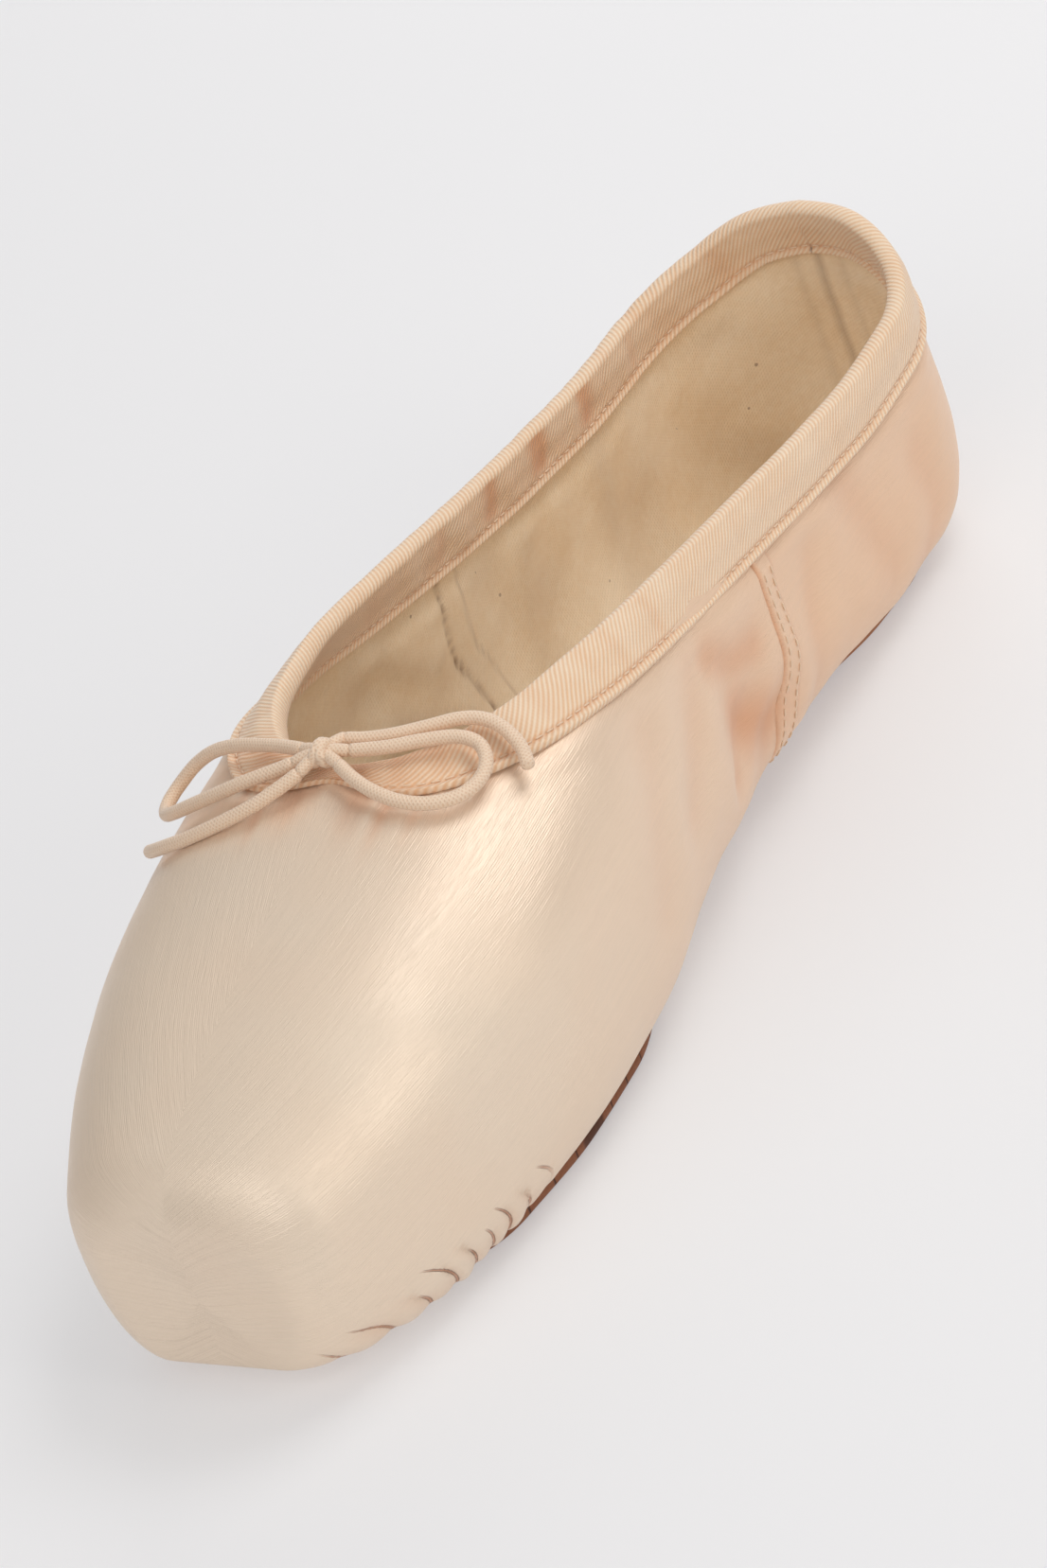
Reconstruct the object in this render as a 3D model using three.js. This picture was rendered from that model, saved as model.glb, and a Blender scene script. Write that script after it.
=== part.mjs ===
// A satin pointe shoe: hollow upper on a straight last, leather outsole, insole,
// tape binding round the collar and a drawstring bow at the throat.
// Millimetres. +Z up, +Y from the toe to the heel, +X to the right seen from the toe.
// The origin lies under the middle of the shoe, on the ground.

import * as THREE from "three";

// ---- driving sizes ---------------------------------------------------------

const LENGTH = 240; // toe platform to heel back
const HEEL_CENTRE = 210.7; // centre of the round heel, measured from the platform
const TOE_EDGE = 7; // radius of the edge round the platform
const SOLE_THICK = 2; // outsole leather
const INSOLE_THICK = 1.5;
const GAP = 0.3; // clearance between touching pieces
const CORNER = 2.2; // roundness of the lower corner, 2 is an ellipse
const OPENING_START = 36; // the underside is open from here to the heel
const CORD = 2.2; // drawstring diameter

// Sections of the last, by distance t from the platform. half: half width; widest: height
// of the widest line; crown: height over the middle; flat: half width of the flat underside;
// round: superellipse exponent of the upper quarter.
const LAST = [
  { t: 0, half: 20.5, widest: 21, crown: 38, flat: 12, round: 2.6 },
  { t: 12, half: 26, widest: 23, crown: 43.4, flat: 19, round: 2.6 },
  { t: 25, half: 31, widest: 25.5, crown: 48.3, flat: 24, round: 2.6 },
  { t: 45, half: 36.2, widest: 28.5, crown: 53.6, flat: 26.5, round: 2.5 },
  { t: 65, half: 39, widest: 31, crown: 57.9, flat: 26.5, round: 2.4 },
  { t: 85, half: 38.3, widest: 32.5, crown: 61.9, flat: 24, round: 2.35 },
  { t: 105, half: 35, widest: 32.5, crown: 67, flat: 19, round: 2.2 },
  { t: 130, half: 31, widest: 29.5, crown: 73.5, flat: 15, round: 2.2 },
  { t: 160, half: 28.6, widest: 26, crown: 82.5, flat: 14.5, round: 2.2 },
  { t: 190, half: 27.9, widest: 23, crown: 95, flat: 17, round: 2.2 },
  { t: HEEL_CENTRE, half: 27.2, widest: 21.5, crown: 104, flat: 17.5, round: 2.2 },
];

// The section at the middle of the heel back, reached by turning a quarter circle
// about the heel centre.
const HEEL_BACK = { half: LENGTH - HEEL_CENTRE, widest: 25, crown: 83, flat: 14, round: 2.2 };

// Height of the outsole's underside: toe spring, forefoot on the ground, arch, heel on the ground.
const SOLE_LIFT = [
  { t: 0, z: 3 },
  { t: 12, z: 1.2 },
  { t: 24, z: 0.3 },
  { t: 36, z: 0 },
  { t: 92, z: 0 },
  { t: 110, z: 1.2 },
  { t: 130, z: 3.1 },
  { t: 148, z: 3.6 },
  { t: 166, z: 2.7 },
  { t: 182, z: 0.8 },
  { t: 193, z: 0 },
  { t: LENGTH, z: 0 },
];

// Height of the collar edge. From the heel centre on, t goes on by TURN_LENGTH
// over the quarter circle to the heel back.
const TURN_LENGTH = 43;
const COLLAR = [
  { t: 60, z: 59.7 },
  { t: 82, z: 59.6 },
  { t: 95, z: 59.2 },
  { t: 108, z: 58.2 },
  { t: 128, z: 55.3 },
  { t: 153, z: 51.4 },
  { t: 178, z: 47.9 },
  { t: 200, z: 46 },
  { t: 214, z: 46.3 },
  { t: 230, z: 49 },
  { t: 244, z: 53.4 },
  { t: HEEL_CENTRE + TURN_LENGTH, z: 54.3 },
];

// Wall of the upper: a stiff toe box that thins to satin and lining.
const WALL = [
  { t: 0, thick: 3.2 },
  { t: 50, thick: 3 },
  { t: 78, thick: 2 },
  { t: 110, thick: 1.6 },
  { t: LENGTH + TURN_LENGTH, thick: 1.6 },
];

// Half width of the outsole, and how far inside it the upper is left open underneath.
const OUTSOLE = [
  { t: 24, half: 24 },
  { t: 44, half: 27.5 },
  { t: 62, half: 29.5 },
  { t: 78, half: 29 },
  { t: 95, half: 24.5 },
  { t: 115, half: 18 },
  { t: 140, half: 15.2 },
  { t: 165, half: 15.8 },
  { t: 190, half: 18.4 },
  { t: 205, half: 19.2 },
  { t: 223, half: 19.2 },
];
const OUTSOLE_FRONT = 24;
const OUTSOLE_BACK = 223;
const OUTSOLE_BEVEL = 0.7;
const FLANGE = 8; // the upper turned under, between the outsole's edge and the opening

// Tape folded over the collar edge.
const TAPE = { thick: 0.9, drop: 9.5, outerGap: 0.45, innerGap: 0.65, topGap: 0.6 };

// ---- curves and sections ----------------------------------------------------

/** Monotone cubic through one column of a table, by t. */
function smooth(table, column) {
  const x = table.map((row) => row.t);
  const y = table.map((row) => row[column]);
  const last = x.length - 1;
  const rise = x.slice(1).map((next, i) => (y[i + 1] - y[i]) / (next - x[i]));
  const slope = x.map((_, i) => {
    if (i === 0) return rise[0];
    if (i === last) return rise[last - 1];
    const product = rise[i - 1] * rise[i];
    return product > 0 ? (2 * product) / (rise[i - 1] + rise[i]) : 0;
  });
  return (t) => {
    const at = Math.min(Math.max(t, x[0]), x[last]);
    const i = Math.min(x.findLastIndex((knot) => knot <= at), last - 1);
    const width = x[i + 1] - x[i];
    const u = (at - x[i]) / width;
    const start = y[i] * (1 + 2 * u) * (1 - u) ** 2 + y[i + 1] * u * u * (3 - 2 * u);
    return start + width * u * (1 - u) * (slope[i] * (1 - u) - slope[i + 1] * u);
  };
}

const lastCurve = Object.fromEntries(
  ["half", "widest", "crown", "flat", "round"].map((column) => [column, smooth(LAST, column)]),
);
const soleLift = smooth(SOLE_LIFT, "z");
const collarHeight = smooth(COLLAR, "z");
const wallThick = smooth(WALL, "thick");
const outsoleHalf = smooth(OUTSOLE, "half");

/** The last's section at station s, blended to the heel back over the turn. */
function section(s) {
  const t = Math.min(s, HEEL_CENTRE);
  const turn = (Math.max(s - HEEL_CENTRE, 0) / TURN_LENGTH) * (Math.PI / 2);
  const at = Object.fromEntries(Object.entries(lastCurve).map(([name, curve]) => [name, curve(t)]));
  const blend = Math.sin(turn) ** 2;
  for (const name of ["widest", "crown", "flat", "round"]) {
    at[name] = at[name] * (1 - blend) + HEEL_BACK[name] * blend;
  }
  at.half = 1 / Math.hypot(Math.cos(turn) / at.half, Math.sin(turn) / HEEL_BACK.half);
  at.under = soleLift(t) + SOLE_THICK + GAP;
  const edge = Math.max(TOE_EDGE - s, 0);
  const inset = TOE_EDGE - Math.sqrt(TOE_EDGE ** 2 - edge ** 2);
  at.half -= 0.8 * inset;
  at.crown -= inset;
  at.under += 0.5 * inset;
  at.flat -= 0.5 * inset;
  return { ...at, t, turn };
}

/** A section moved inwards by depth. The toe platform's inside moves back by the same depth. */
function inset(at, depth) {
  const toeShare = Math.max(1 - at.t / 60, 0);
  return {
    ...at,
    half: at.half - depth,
    crown: at.crown - depth,
    under: at.under + depth,
    flat: at.flat - 0.4 * depth,
    t: at.t + depth * toeShare,
  };
}

/** Half width and height on a section. angle: -180 the underside's middle, -90 its edge,
 *  0 the widest line, 90 the crown. */
function profile(at, angle) {
  const up = Math.abs(Math.sin((angle * Math.PI) / 180));
  const out = Math.max(Math.cos((angle * Math.PI) / 180), 0);
  if (angle <= -90) return [(at.flat * (angle + 180)) / 90, at.under];
  if (angle <= 0) {
    const power = 2 / CORNER;
    return [at.flat + (at.half - at.flat) * out ** power, at.widest - (at.widest - at.under) * up ** power];
  }
  const power = 2 / at.round;
  return [at.half * out ** power, at.widest + (at.crown - at.widest) * up ** power];
}

/** A point of a section on the right side, in the shoe's frame. */
function place(at, half, z) {
  const y = at.t - LENGTH / 2 + half * Math.sin(at.turn);
  return new THREE.Vector3(half * Math.cos(at.turn), y, z);
}

/** The angle at which a section reaches a height above its widest line. */
function angleAt(at, z) {
  const share = Math.min(Math.max((z - at.widest) / (at.crown - at.widest), 0), 1);
  return (Math.asin(share ** (at.round / 2)) * 180) / Math.PI;
}

/** Where the crown rises through the collar's height: the front of the throat. */
function findThroat() {
  let [low, high] = [60, 100];
  while (high - low > 1e-4) {
    const middle = (low + high) / 2;
    if (section(middle).crown < collarHeight(middle)) low = middle;
    else high = middle;
  }
  return high;
}

const THROAT = findThroat();
const rimAngle = (s) => (s <= THROAT ? 90 : angleAt(section(s), collarHeight(s)));

// ---- meshes -------------------------------------------------------------------

/** A closed mesh put together from quads and triangles that share merged corners. */
class Skin {
  constructor() {
    this.keys = new Map();
    this.corners = [];
    this.faces = [];
  }

  corner(point) {
    const key = point.toArray().map((value) => Math.round(value * 1e4)).join();
    if (!this.keys.has(key)) {
      this.keys.set(key, this.keys.size);
      this.corners.push(...point.toArray());
    }
    return this.keys.get(key);
  }

  triangle(...points) {
    const [a, b, c] = points.map((point) => this.corner(point));
    if (a !== b && b !== c && c !== a) this.faces.push(a, b, c);
  }

  quad(a, b, c, d) {
    this.triangle(a, b, c);
    this.triangle(a, c, d);
  }

  geometry() {
    const made = new THREE.BufferGeometry();
    made.setAttribute("position", new THREE.Float32BufferAttribute(this.corners, 3));
    made.setIndex(this.faces);
    made.computeVertexNormals();
    return made;
  }
}

const mirrored = (point) => new THREE.Vector3(-point.x, point.y, point.z);

/** Adds a right-hand quad and its mirror image on the left. */
function addPair(skin, a, b, c, d) {
  skin.quad(a, b, c, d);
  skin.quad(mirrored(d), mirrored(c), mirrored(b), mirrored(a));
}

/** Even steps from first to last, both included. */
function steps(first, last, count) {
  return Array.from({ length: count + 1 }, (_, i) => first + ((last - first) * i) / count);
}

// ---- upper ----------------------------------------------------------------------

const TOE_STATIONS = [0, 0.7, 2, 4, TOE_EDGE, 12, 18, 26, OPENING_START, 40, 46, 55, 65];
const THROAT_STEPS = [0, 0.5, 1.6, 3.4, 6, 10, 15, 20, 26];
const QUARTER_STATIONS = [107, 114, 122, 131, 141, 153, 165, 177, 189, 200];
const RIM_STATIONS = [
  ...THROAT_STEPS.map((step) => THROAT + step),
  ...QUARTER_STATIONS,
  ...steps(HEEL_CENTRE, HEEL_CENTRE + TURN_LENGTH, 8),
];
const UPPER_STATIONS = [...TOE_STATIONS, ...RIM_STATIONS];

/** Half width of the opening underneath, widening in a round from its front end. */
function openingHalf(s) {
  const widening = 1 - Math.max(1 - (s - OPENING_START) / 14, 0) ** 2;
  const back = section(s).flat - 9;
  return Math.max(Math.min(outsoleHalf(s) - FLANGE, back + 2), 0) * Math.sqrt(widening);
}

/** The angles of one section's corners, from the opening or the middle up to the rim. */
function ringAngles(s, at) {
  const start = s <= OPENING_START ? -180 : -180 + (90 * openingHalf(s)) / at.flat;
  const rim = rimAngle(s);
  return [start, (start - 90) / 2, -90, -62, -38, -18, 0, ...steps(0, rim, 7).slice(1)];
}

function makeUpper() {
  const rings = UPPER_STATIONS.map((s) => {
    const outer = section(s);
    const inner = inset(outer, wallThick(s));
    const angles = ringAngles(s, outer);
    return {
      s,
      outer: angles.map((angle) => place(outer, ...profile(outer, angle))),
      inner: angles.map((angle) => place(inner, ...profile(inner, angle))),
    };
  });
  const skin = new Skin();
  const top = rings[0].outer.length - 1;
  rings.slice(1).forEach((next, i) => {
    const ring = rings[i];
    for (let j = 0; j < top; j += 1) {
      addPair(skin, ring.outer[j], next.outer[j], next.outer[j + 1], ring.outer[j + 1]);
      addPair(skin, ring.inner[j + 1], next.inner[j + 1], next.inner[j], ring.inner[j]);
    }
    if (ring.s >= THROAT) {
      addPair(skin, ring.outer[top], next.outer[top], next.inner[top], ring.inner[top]);
    }
    if (ring.s >= OPENING_START) {
      addPair(skin, ring.inner[0], next.inner[0], next.outer[0], ring.outer[0]);
    }
  });
  closeToe(skin, rings[0].outer, false);
  closeToe(skin, rings[0].inner, true);
  return skin.geometry();
}

/** Fills the flat toe platform inside a section's ring. */
function closeToe(skin, ring, inside) {
  const middle = new THREE.Vector3(0, ring[0].y, (ring[0].z + ring.at(-1).z) / 2);
  for (let j = 0; j < ring.length - 1; j += 1) {
    const [low, high] = inside ? [ring[j + 1], ring[j]] : [ring[j], ring[j + 1]];
    skin.triangle(middle, low, high);
    skin.triangle(middle, mirrored(high), mirrored(low));
  }
}

// ---- sole and insole ---------------------------------------------------------------

/** A plate between two edge outlines, a row for each station: half width, y, and the
 *  heights of its underside and its top. Bevel takes off the lower edge. */
function makePlate(rows, bevel) {
  const skin = new Skin();
  const edge = ({ half, y, low, high }) => {
    const foot = Math.max(half - bevel, 0);
    const corners = [[0, low], [foot, low], [half, low + bevel], [half, high], [0, high]];
    return corners.map(([x, z]) => new THREE.Vector3(x, y, z));
  };
  const rings = rows.map(edge);
  rings.slice(1).forEach((next, i) => {
    const ring = rings[i];
    for (let j = 0; j < ring.length - 1; j += 1) {
      addPair(skin, ring[j], next[j], next[j + 1], ring[j + 1]);
    }
  });
  return skin.geometry();
}

/** Stations that crowd towards both round ends. */
function plateStations(front, back, count) {
  return steps(0, Math.PI, count).map((angle) => {
    const share = (1 - Math.cos(angle)) / 2;
    return front + (back - front) * share;
  });
}

/** How far a round end of the given depth has opened, 0 at its tip and 1 past it. */
function roundEnd(distance, depth, power) {
  const left = Math.max(1 - distance / depth, 0);
  return (1 - left ** power) ** (1 / power);
}

function makeOutsole() {
  const flats = [36, 92, 193];
  const stations = [...plateStations(OUTSOLE_FRONT, OUTSOLE_BACK, 34), ...flats].sort((a, b) => a - b);
  const tip = 0.02; // the ends close on a short edge
  const rows = stations.map((t) => {
    const front = roundEnd(t - OUTSOLE_FRONT + tip, 20, 2.4);
    const back = roundEnd(OUTSOLE_BACK - t + tip, 19, 2);
    const low = soleLift(t);
    return { half: outsoleHalf(t) * front * back, y: t - LENGTH / 2, low, high: low + SOLE_THICK };
  });
  return makePlate(closeEnds(rows), OUTSOLE_BEVEL);
}

/** Starts and ends a plate on its middle line, so that the strip of edge there is closed. */
function closeEnds(rows) {
  const shut = (row, step) => ({ ...row, half: 0, y: row.y + step });
  return [shut(rows[0], -0.4), ...rows, shut(rows.at(-1), 0.4)];
}

function makeInsole() {
  const front = 28;
  const back = HEEL_CENTRE + HEEL_BACK.flat - 1.5;
  const rows = plateStations(front, back, 26).map((t) => {
    const at = section(Math.min(t, HEEL_CENTRE));
    const inner = inset(at, wallThick(t));
    const opened = roundEnd(t - front + 0.05, 12, 2.6) * roundEnd(back - t + 0.05, back - HEEL_CENTRE, 2);
    const low = inner.under + 1.5 * GAP;
    return { half: (inner.flat - 0.6) * opened, y: t - LENGTH / 2, low, high: low + INSOLE_THICK };
  });
  return makePlate(closeEnds(rows), 0);
}

// ---- collar binding -----------------------------------------------------------------

/** Zero on the last's upper surface, negative inside it. */
function outside(point) {
  const y = point.y + LENGTH / 2;
  const turn = y > HEEL_CENTRE ? Math.atan2(y - HEEL_CENTRE, Math.abs(point.x)) : 0;
  const at = section(turn > 0 ? HEEL_CENTRE + (turn / (Math.PI / 2)) * TURN_LENGTH : y);
  const half = turn > 0 ? Math.hypot(point.x, y - HEEL_CENTRE) : Math.abs(point.x);
  const rise = Math.max(point.z - at.widest, 0) / (at.crown - at.widest);
  return (half / at.half) ** at.round + rise ** at.round - 1;
}

/** The slope of outside() at a point. */
function slopeAt(point) {
  const step = 0.05;
  const slope = ["x", "y", "z"].map((axis) => {
    const ahead = point.clone();
    const behind = point.clone();
    ahead[axis] += step;
    behind[axis] -= step;
    return (outside(ahead) - outside(behind)) / (2 * step);
  });
  return new THREE.Vector3(...slope);
}

/** Brings a point near the upper surface onto it. */
function ontoLast(point) {
  const moved = point.clone();
  for (let round = 0; round < 4; round += 1) {
    const slope = slopeAt(moved);
    moved.addScaledVector(slope, -outside(moved) / slope.lengthSq());
  }
  return moved;
}

/** Walks down from the rim over the upper surface, and returns the place and its normal. */
function slideDown(rim, down, distance) {
  const count = 4;
  let point = rim.clone();
  let heading = down.clone();
  for (let i = 0; i < count; i += 1) {
    const next = ontoLast(point.clone().addScaledVector(heading, distance / count));
    heading = next.clone().sub(point).normalize();
    point = next;
  }
  return { point, normal: slopeAt(point).normalize() };
}

/** The tape's section: distance down from the rim, height off the wall, and whether
 *  that is the wall's inside. */
function tapeSection() {
  const { thick, drop, outerGap, innerGap, topGap } = TAPE;
  const crest = -topGap - 0.7 * thick;
  const outer = [
    [0, outerGap], [drop / 2, outerGap], [drop, outerGap], [drop, outerGap + thick],
    [drop / 2, outerGap + thick], [0, outerGap + thick], [crest, outerGap + 0.2],
  ].map((pair) => [...pair, false]);
  const inner = [
    [crest, innerGap + 0.2], [0, innerGap + thick], [drop / 2, innerGap + thick],
    [drop, innerGap + thick], [drop, innerGap], [drop / 2, innerGap], [0, innerGap], [-topGap, 0],
  ].map((pair) => [...pair, true]);
  return [...outer, ...inner, [-topGap, 0, false]];
}

function makeBinding() {
  const rim = RIM_STATIONS.map((s) => {
    const at = section(s);
    return place(at, ...profile(at, rimAngle(s)));
  });
  rim[0].x = 0;
  rim.at(-1).x = 0;
  const rings = rim.map((point, i) => {
    const before = i > 0 ? rim[i - 1] : mirrored(rim[1]);
    const after = i < rim.length - 1 ? rim[i + 1] : mirrored(rim[i - 1]);
    const along = after.clone().sub(before).normalize();
    const normal = slopeAt(point).normalize();
    const down = along.cross(normal).normalize();
    return tapeSection().map(([distance, height, inside]) => {
      const spot = distance > 0 ? slideDown(point, down, distance) : { point: point.clone(), normal };
      const wall = wallThick(spot.point.y + LENGTH / 2);
      const corner = spot.point.addScaledVector(spot.normal, inside ? -wall - height : height);
      return distance < 0 ? corner.addScaledVector(down, distance) : corner;
    });
  });
  const skin = new Skin();
  rings.slice(1).forEach((next, i) => {
    const ring = rings[i];
    ring.forEach((corner, j) => {
      const up = (j + 1) % ring.length;
      addPair(skin, corner, next[j], next[up], ring[up]);
    });
  });
  return skin.geometry();
}

// ---- drawstring bow -------------------------------------------------------------------

const KNOT = { x: -1.2, y: -47.4, z: 63.6, halfX: 3.1, halfY: 2.9, halfZ: 2.2 };

// Routes of the cord's middle line, from the knot outwards. They rest on the tape and the vamp.
const BOW_ROUTES = {
  bow_loop_left: [
    [-4.9, -46.3, 63.2], [-9, -45.2, 62.8], [-14, -44, 62.1], [-20, -42.8, 61], [-25.5, -42, 59.2],
    [-30, -42, 56.6], [-33.3, -43.6, 53.8], [-34.4, -46.4, 52.4], [-33.2, -49.2, 52.4],
    [-29.8, -51, 54.2], [-25, -51.8, 56.5], [-19.5, -52, 58.8], [-14, -51.5, 60.8],
    [-9, -50.2, 62], [-5.2, -49, 62.9],
  ],
  bow_loop_right: [
    [2.3, -49.1, 63], [5.6, -51.2, 62.2], [9.5, -52.9, 61.2], [14, -53.7, 60], [18.5, -53, 59],
    [22.2, -50.6, 58.4], [24.2, -47, 58.5], [24.4, -43.6, 59.6], [22.4, -41.1, 61.1],
    [18.8, -40.9, 62.2], [14, -42.8, 62.8], [9, -45, 63.1], [2.9, -46.6, 63.4],
  ],
  bow_tail_left: [
    [-3.4, -50.9, 62.6], [-6.5, -53.4, 61.3], [-10, -55.6, 59.9], [-14.5, -57.2, 58.3],
    [-19, -58.2, 56.7], [-23.5, -58.6, 55], [-27.5, -58.2, 53.4], [-31, -57, 51.6],
    [-33.8, -55.4, 49.9],
  ],
  bow_tail_right: [
    [0.6, -43.6, 63.4], [4.6, -43, 63.1], [9, -41.6, 63], [13.5, -39.4, 62.9], [17.5, -37.2, 62.7],
    [21, -36.2, 62], [24.5, -36.8, 60.6], [27.6, -38.6, 58.6], [29.6, -41.2, 56.8],
  ],
};

function makeKnot() {
  const ball = new THREE.SphereGeometry(1, 12, 8);
  ball.scale(KNOT.halfX, KNOT.halfY, KNOT.halfZ);
  ball.translate(KNOT.x, KNOT.y, KNOT.z);
  return ball;
}

function makeCord(route) {
  const round = new THREE.Shape().absarc(0, 0, CORD / 2, 0, 2 * Math.PI);
  const path = new THREE.CatmullRomCurve3(route.map((point) => new THREE.Vector3(...point)), false, "centripetal");
  const count = Math.ceil(path.getLength() / (2.4 * CORD));
  return new THREE.ExtrudeGeometry(round, { steps: count, curveSegments: 4, extrudePath: path });
}

// ---- materials and scene graph ------------------------------------------------------------

const finish = (color, roughness) => new THREE.MeshStandardMaterial({ color, roughness, metalness: 0 });
const SATIN = finish(0xe4c8ac, 0.35);
const LEATHER = finish(0x97603f, 0.6);
const BOARD = finish(0xd9c3a0, 0.8);
const TWILL = finish(0xe2c4a4, 0.75);
const STRING = finish(0xe9cdb0, 0.7);

const shoe = new THREE.Group();

function add(name, geometry, material) {
  const mesh = new THREE.Mesh(geometry, material);
  mesh.name = name;
  shoe.add(mesh);
}

add("upper", makeUpper(), SATIN);
add("outsole", makeOutsole(), LEATHER);
add("insole", makeInsole(), BOARD);
add("collar_binding", makeBinding(), TWILL);

add("bow_knot", makeKnot(), STRING);
for (const [name, route] of Object.entries(BOW_ROUTES)) {
  add(name, makeCord(route), STRING);
}

export default shoe;
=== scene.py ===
"""A satin pointe shoe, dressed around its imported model.

Lengths in this file are millimetres unless a name says otherwise, with +Y from the toe to the
heel, +X to the right seen from the toe and +Z up. Meshes are written in metres.
"""

from __future__ import annotations

import logging
import math
from collections.abc import Callable
from dataclasses import dataclass, field
from enum import Enum
from typing import Union

import bpy
import numpy as np
from mathutils import Matrix

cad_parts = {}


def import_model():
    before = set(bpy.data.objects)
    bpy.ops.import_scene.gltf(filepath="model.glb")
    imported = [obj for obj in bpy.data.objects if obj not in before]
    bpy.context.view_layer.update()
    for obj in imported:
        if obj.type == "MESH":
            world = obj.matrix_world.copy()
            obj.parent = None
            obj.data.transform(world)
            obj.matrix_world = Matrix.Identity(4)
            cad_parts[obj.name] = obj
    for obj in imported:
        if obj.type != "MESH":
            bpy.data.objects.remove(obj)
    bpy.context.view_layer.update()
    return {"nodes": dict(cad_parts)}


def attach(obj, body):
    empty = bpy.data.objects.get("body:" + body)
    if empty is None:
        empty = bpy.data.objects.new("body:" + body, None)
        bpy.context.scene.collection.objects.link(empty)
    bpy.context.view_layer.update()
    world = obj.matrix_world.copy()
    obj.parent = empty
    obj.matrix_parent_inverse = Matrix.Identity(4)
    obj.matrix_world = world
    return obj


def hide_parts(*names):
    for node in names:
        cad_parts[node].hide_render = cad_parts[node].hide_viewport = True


Array = np.ndarray
Piece = bpy.types.Object
Material = bpy.types.Material
Socket = bpy.types.NodeSocket
Triple = tuple[float, float, float]
Color = tuple[float, float, float, float]
Value = Union[Socket, float]
Tone = Union[Socket, Color]
LOG = logging.getLogger("pointe_shoe")
METRE = 0.001
CLOTH_UV = 0.01
BODY = "root"


class Side(Enum):
    """The two halves of the shoe, seen from the toe."""

    RIGHT = 1
    LEFT = -1


# ---- small numeric helpers ----


def smoothstep(low: float, high: float, value: Array) -> Array:
    """Eases from 0 at low to 1 at high, as 3u^2 - 2u^3 of the share u between them.

    Args:
        low: Where the step starts.
        high: Where it ends. It may be below low, and then the step falls.
        value: Values to ease.

    Returns:
        The eased shares.
    """
    share = np.clip((value - low) / (high - low), 0.0, 1.0)
    return share * share * (3.0 - 2.0 * share)


def hump(offset: Array, width: float) -> Array:
    """A bell of height 1, exp of minus the squared offset in widths."""
    return np.exp(-((offset / width) ** 2))


def unit(vectors: Array) -> Array:
    """Vectors of length 1 along the last axis."""
    return vectors / np.maximum(np.linalg.norm(vectors, axis=-1, keepdims=True), 1e-9)


def lengths_along(path: Array) -> Array:
    """The length of a path, (k, 3), up to each of its points."""
    return np.concatenate([[0.0], np.cumsum(np.linalg.norm(np.diff(path, axis=0), axis=1))])


def to_side(right: Array, sign: Array) -> Array:
    """Points of the right half, sent over to the left where the sign is negative."""
    one = np.ones_like(sign)
    return right * np.stack([np.sign(sign), one, one], axis=-1)


def ripple(x: Array, y: Array, wave: float, seed: float) -> Array:
    """Soft aperiodic undulation between about -1 and 1: five sine waves that cross.

    Args:
        x: First coordinate.
        y: Second coordinate.
        wave: Typical distance from crest to crest.
        seed: Shifts the waves, so that each use has its own pattern.

    Returns:
        The undulation at each point.
    """
    total = np.zeros(np.broadcast(x, y).shape)
    for i in range(5):
        heading = seed + i * 2.399
        pace = 2.0 * math.pi / (wave * (0.7 + 0.19 * i))
        total = total + np.sin(pace * (x * math.cos(heading) + y * math.sin(heading)) + seed * (i + 1) * 1.7)
    return total / 3.2


def nearest_distance(points: Array, path: Array) -> Array:
    """Distance from each point to the nearest stretch of a path.

    Each stretch is a straight segment: the foot of the perpendicular is clamped to it.

    Args:
        points: Points, (..., 3).
        path: The path's points, (k, 3).

    Returns:
        Distances, in the shape of points without its last axis.
    """
    flat = points.reshape(-1, 3)
    best = np.full(len(flat), 1e9)
    for start, end in zip(path[:-1], path[1:]):
        along = end - start
        share = np.clip(((flat - start) @ along) / max(float(along @ along), 1e-9), 0.0, 1.0)
        best = np.minimum(best, np.linalg.norm(flat - start - share[:, None] * along, axis=1))
    return best.reshape(points.shape[:-1])


def curve_through(points: Array, per_span: int) -> Array:
    """A Catmull-Rom curve: each span is the cubic whose end slopes are half the chord
    between the neighbours on both sides.

    Args:
        points: The points it passes, (k, 3).
        per_span: Steps in each span.

    Returns:
        Points along the curve, ((k - 1) * per_span + 1, 3).
    """
    padded = np.vstack([2 * points[0] - points[1], points, 2 * points[-1] - points[-2]])
    before, start, end, after = padded[:-3], padded[1:-2], padded[2:-1], padded[3:]
    u = np.linspace(0.0, 1.0, per_span, endpoint=False)[:, None, None]
    cubic = (
        2 * start
        + (end - before) * u
        + (2 * before - 5 * start + 4 * end - after) * u**2
        + (3 * start - before - 3 * end + after) * u**3
    ) / 2
    return np.vstack([cubic.transpose(1, 0, 2).reshape(-1, 3), points[-1:]])


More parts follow.
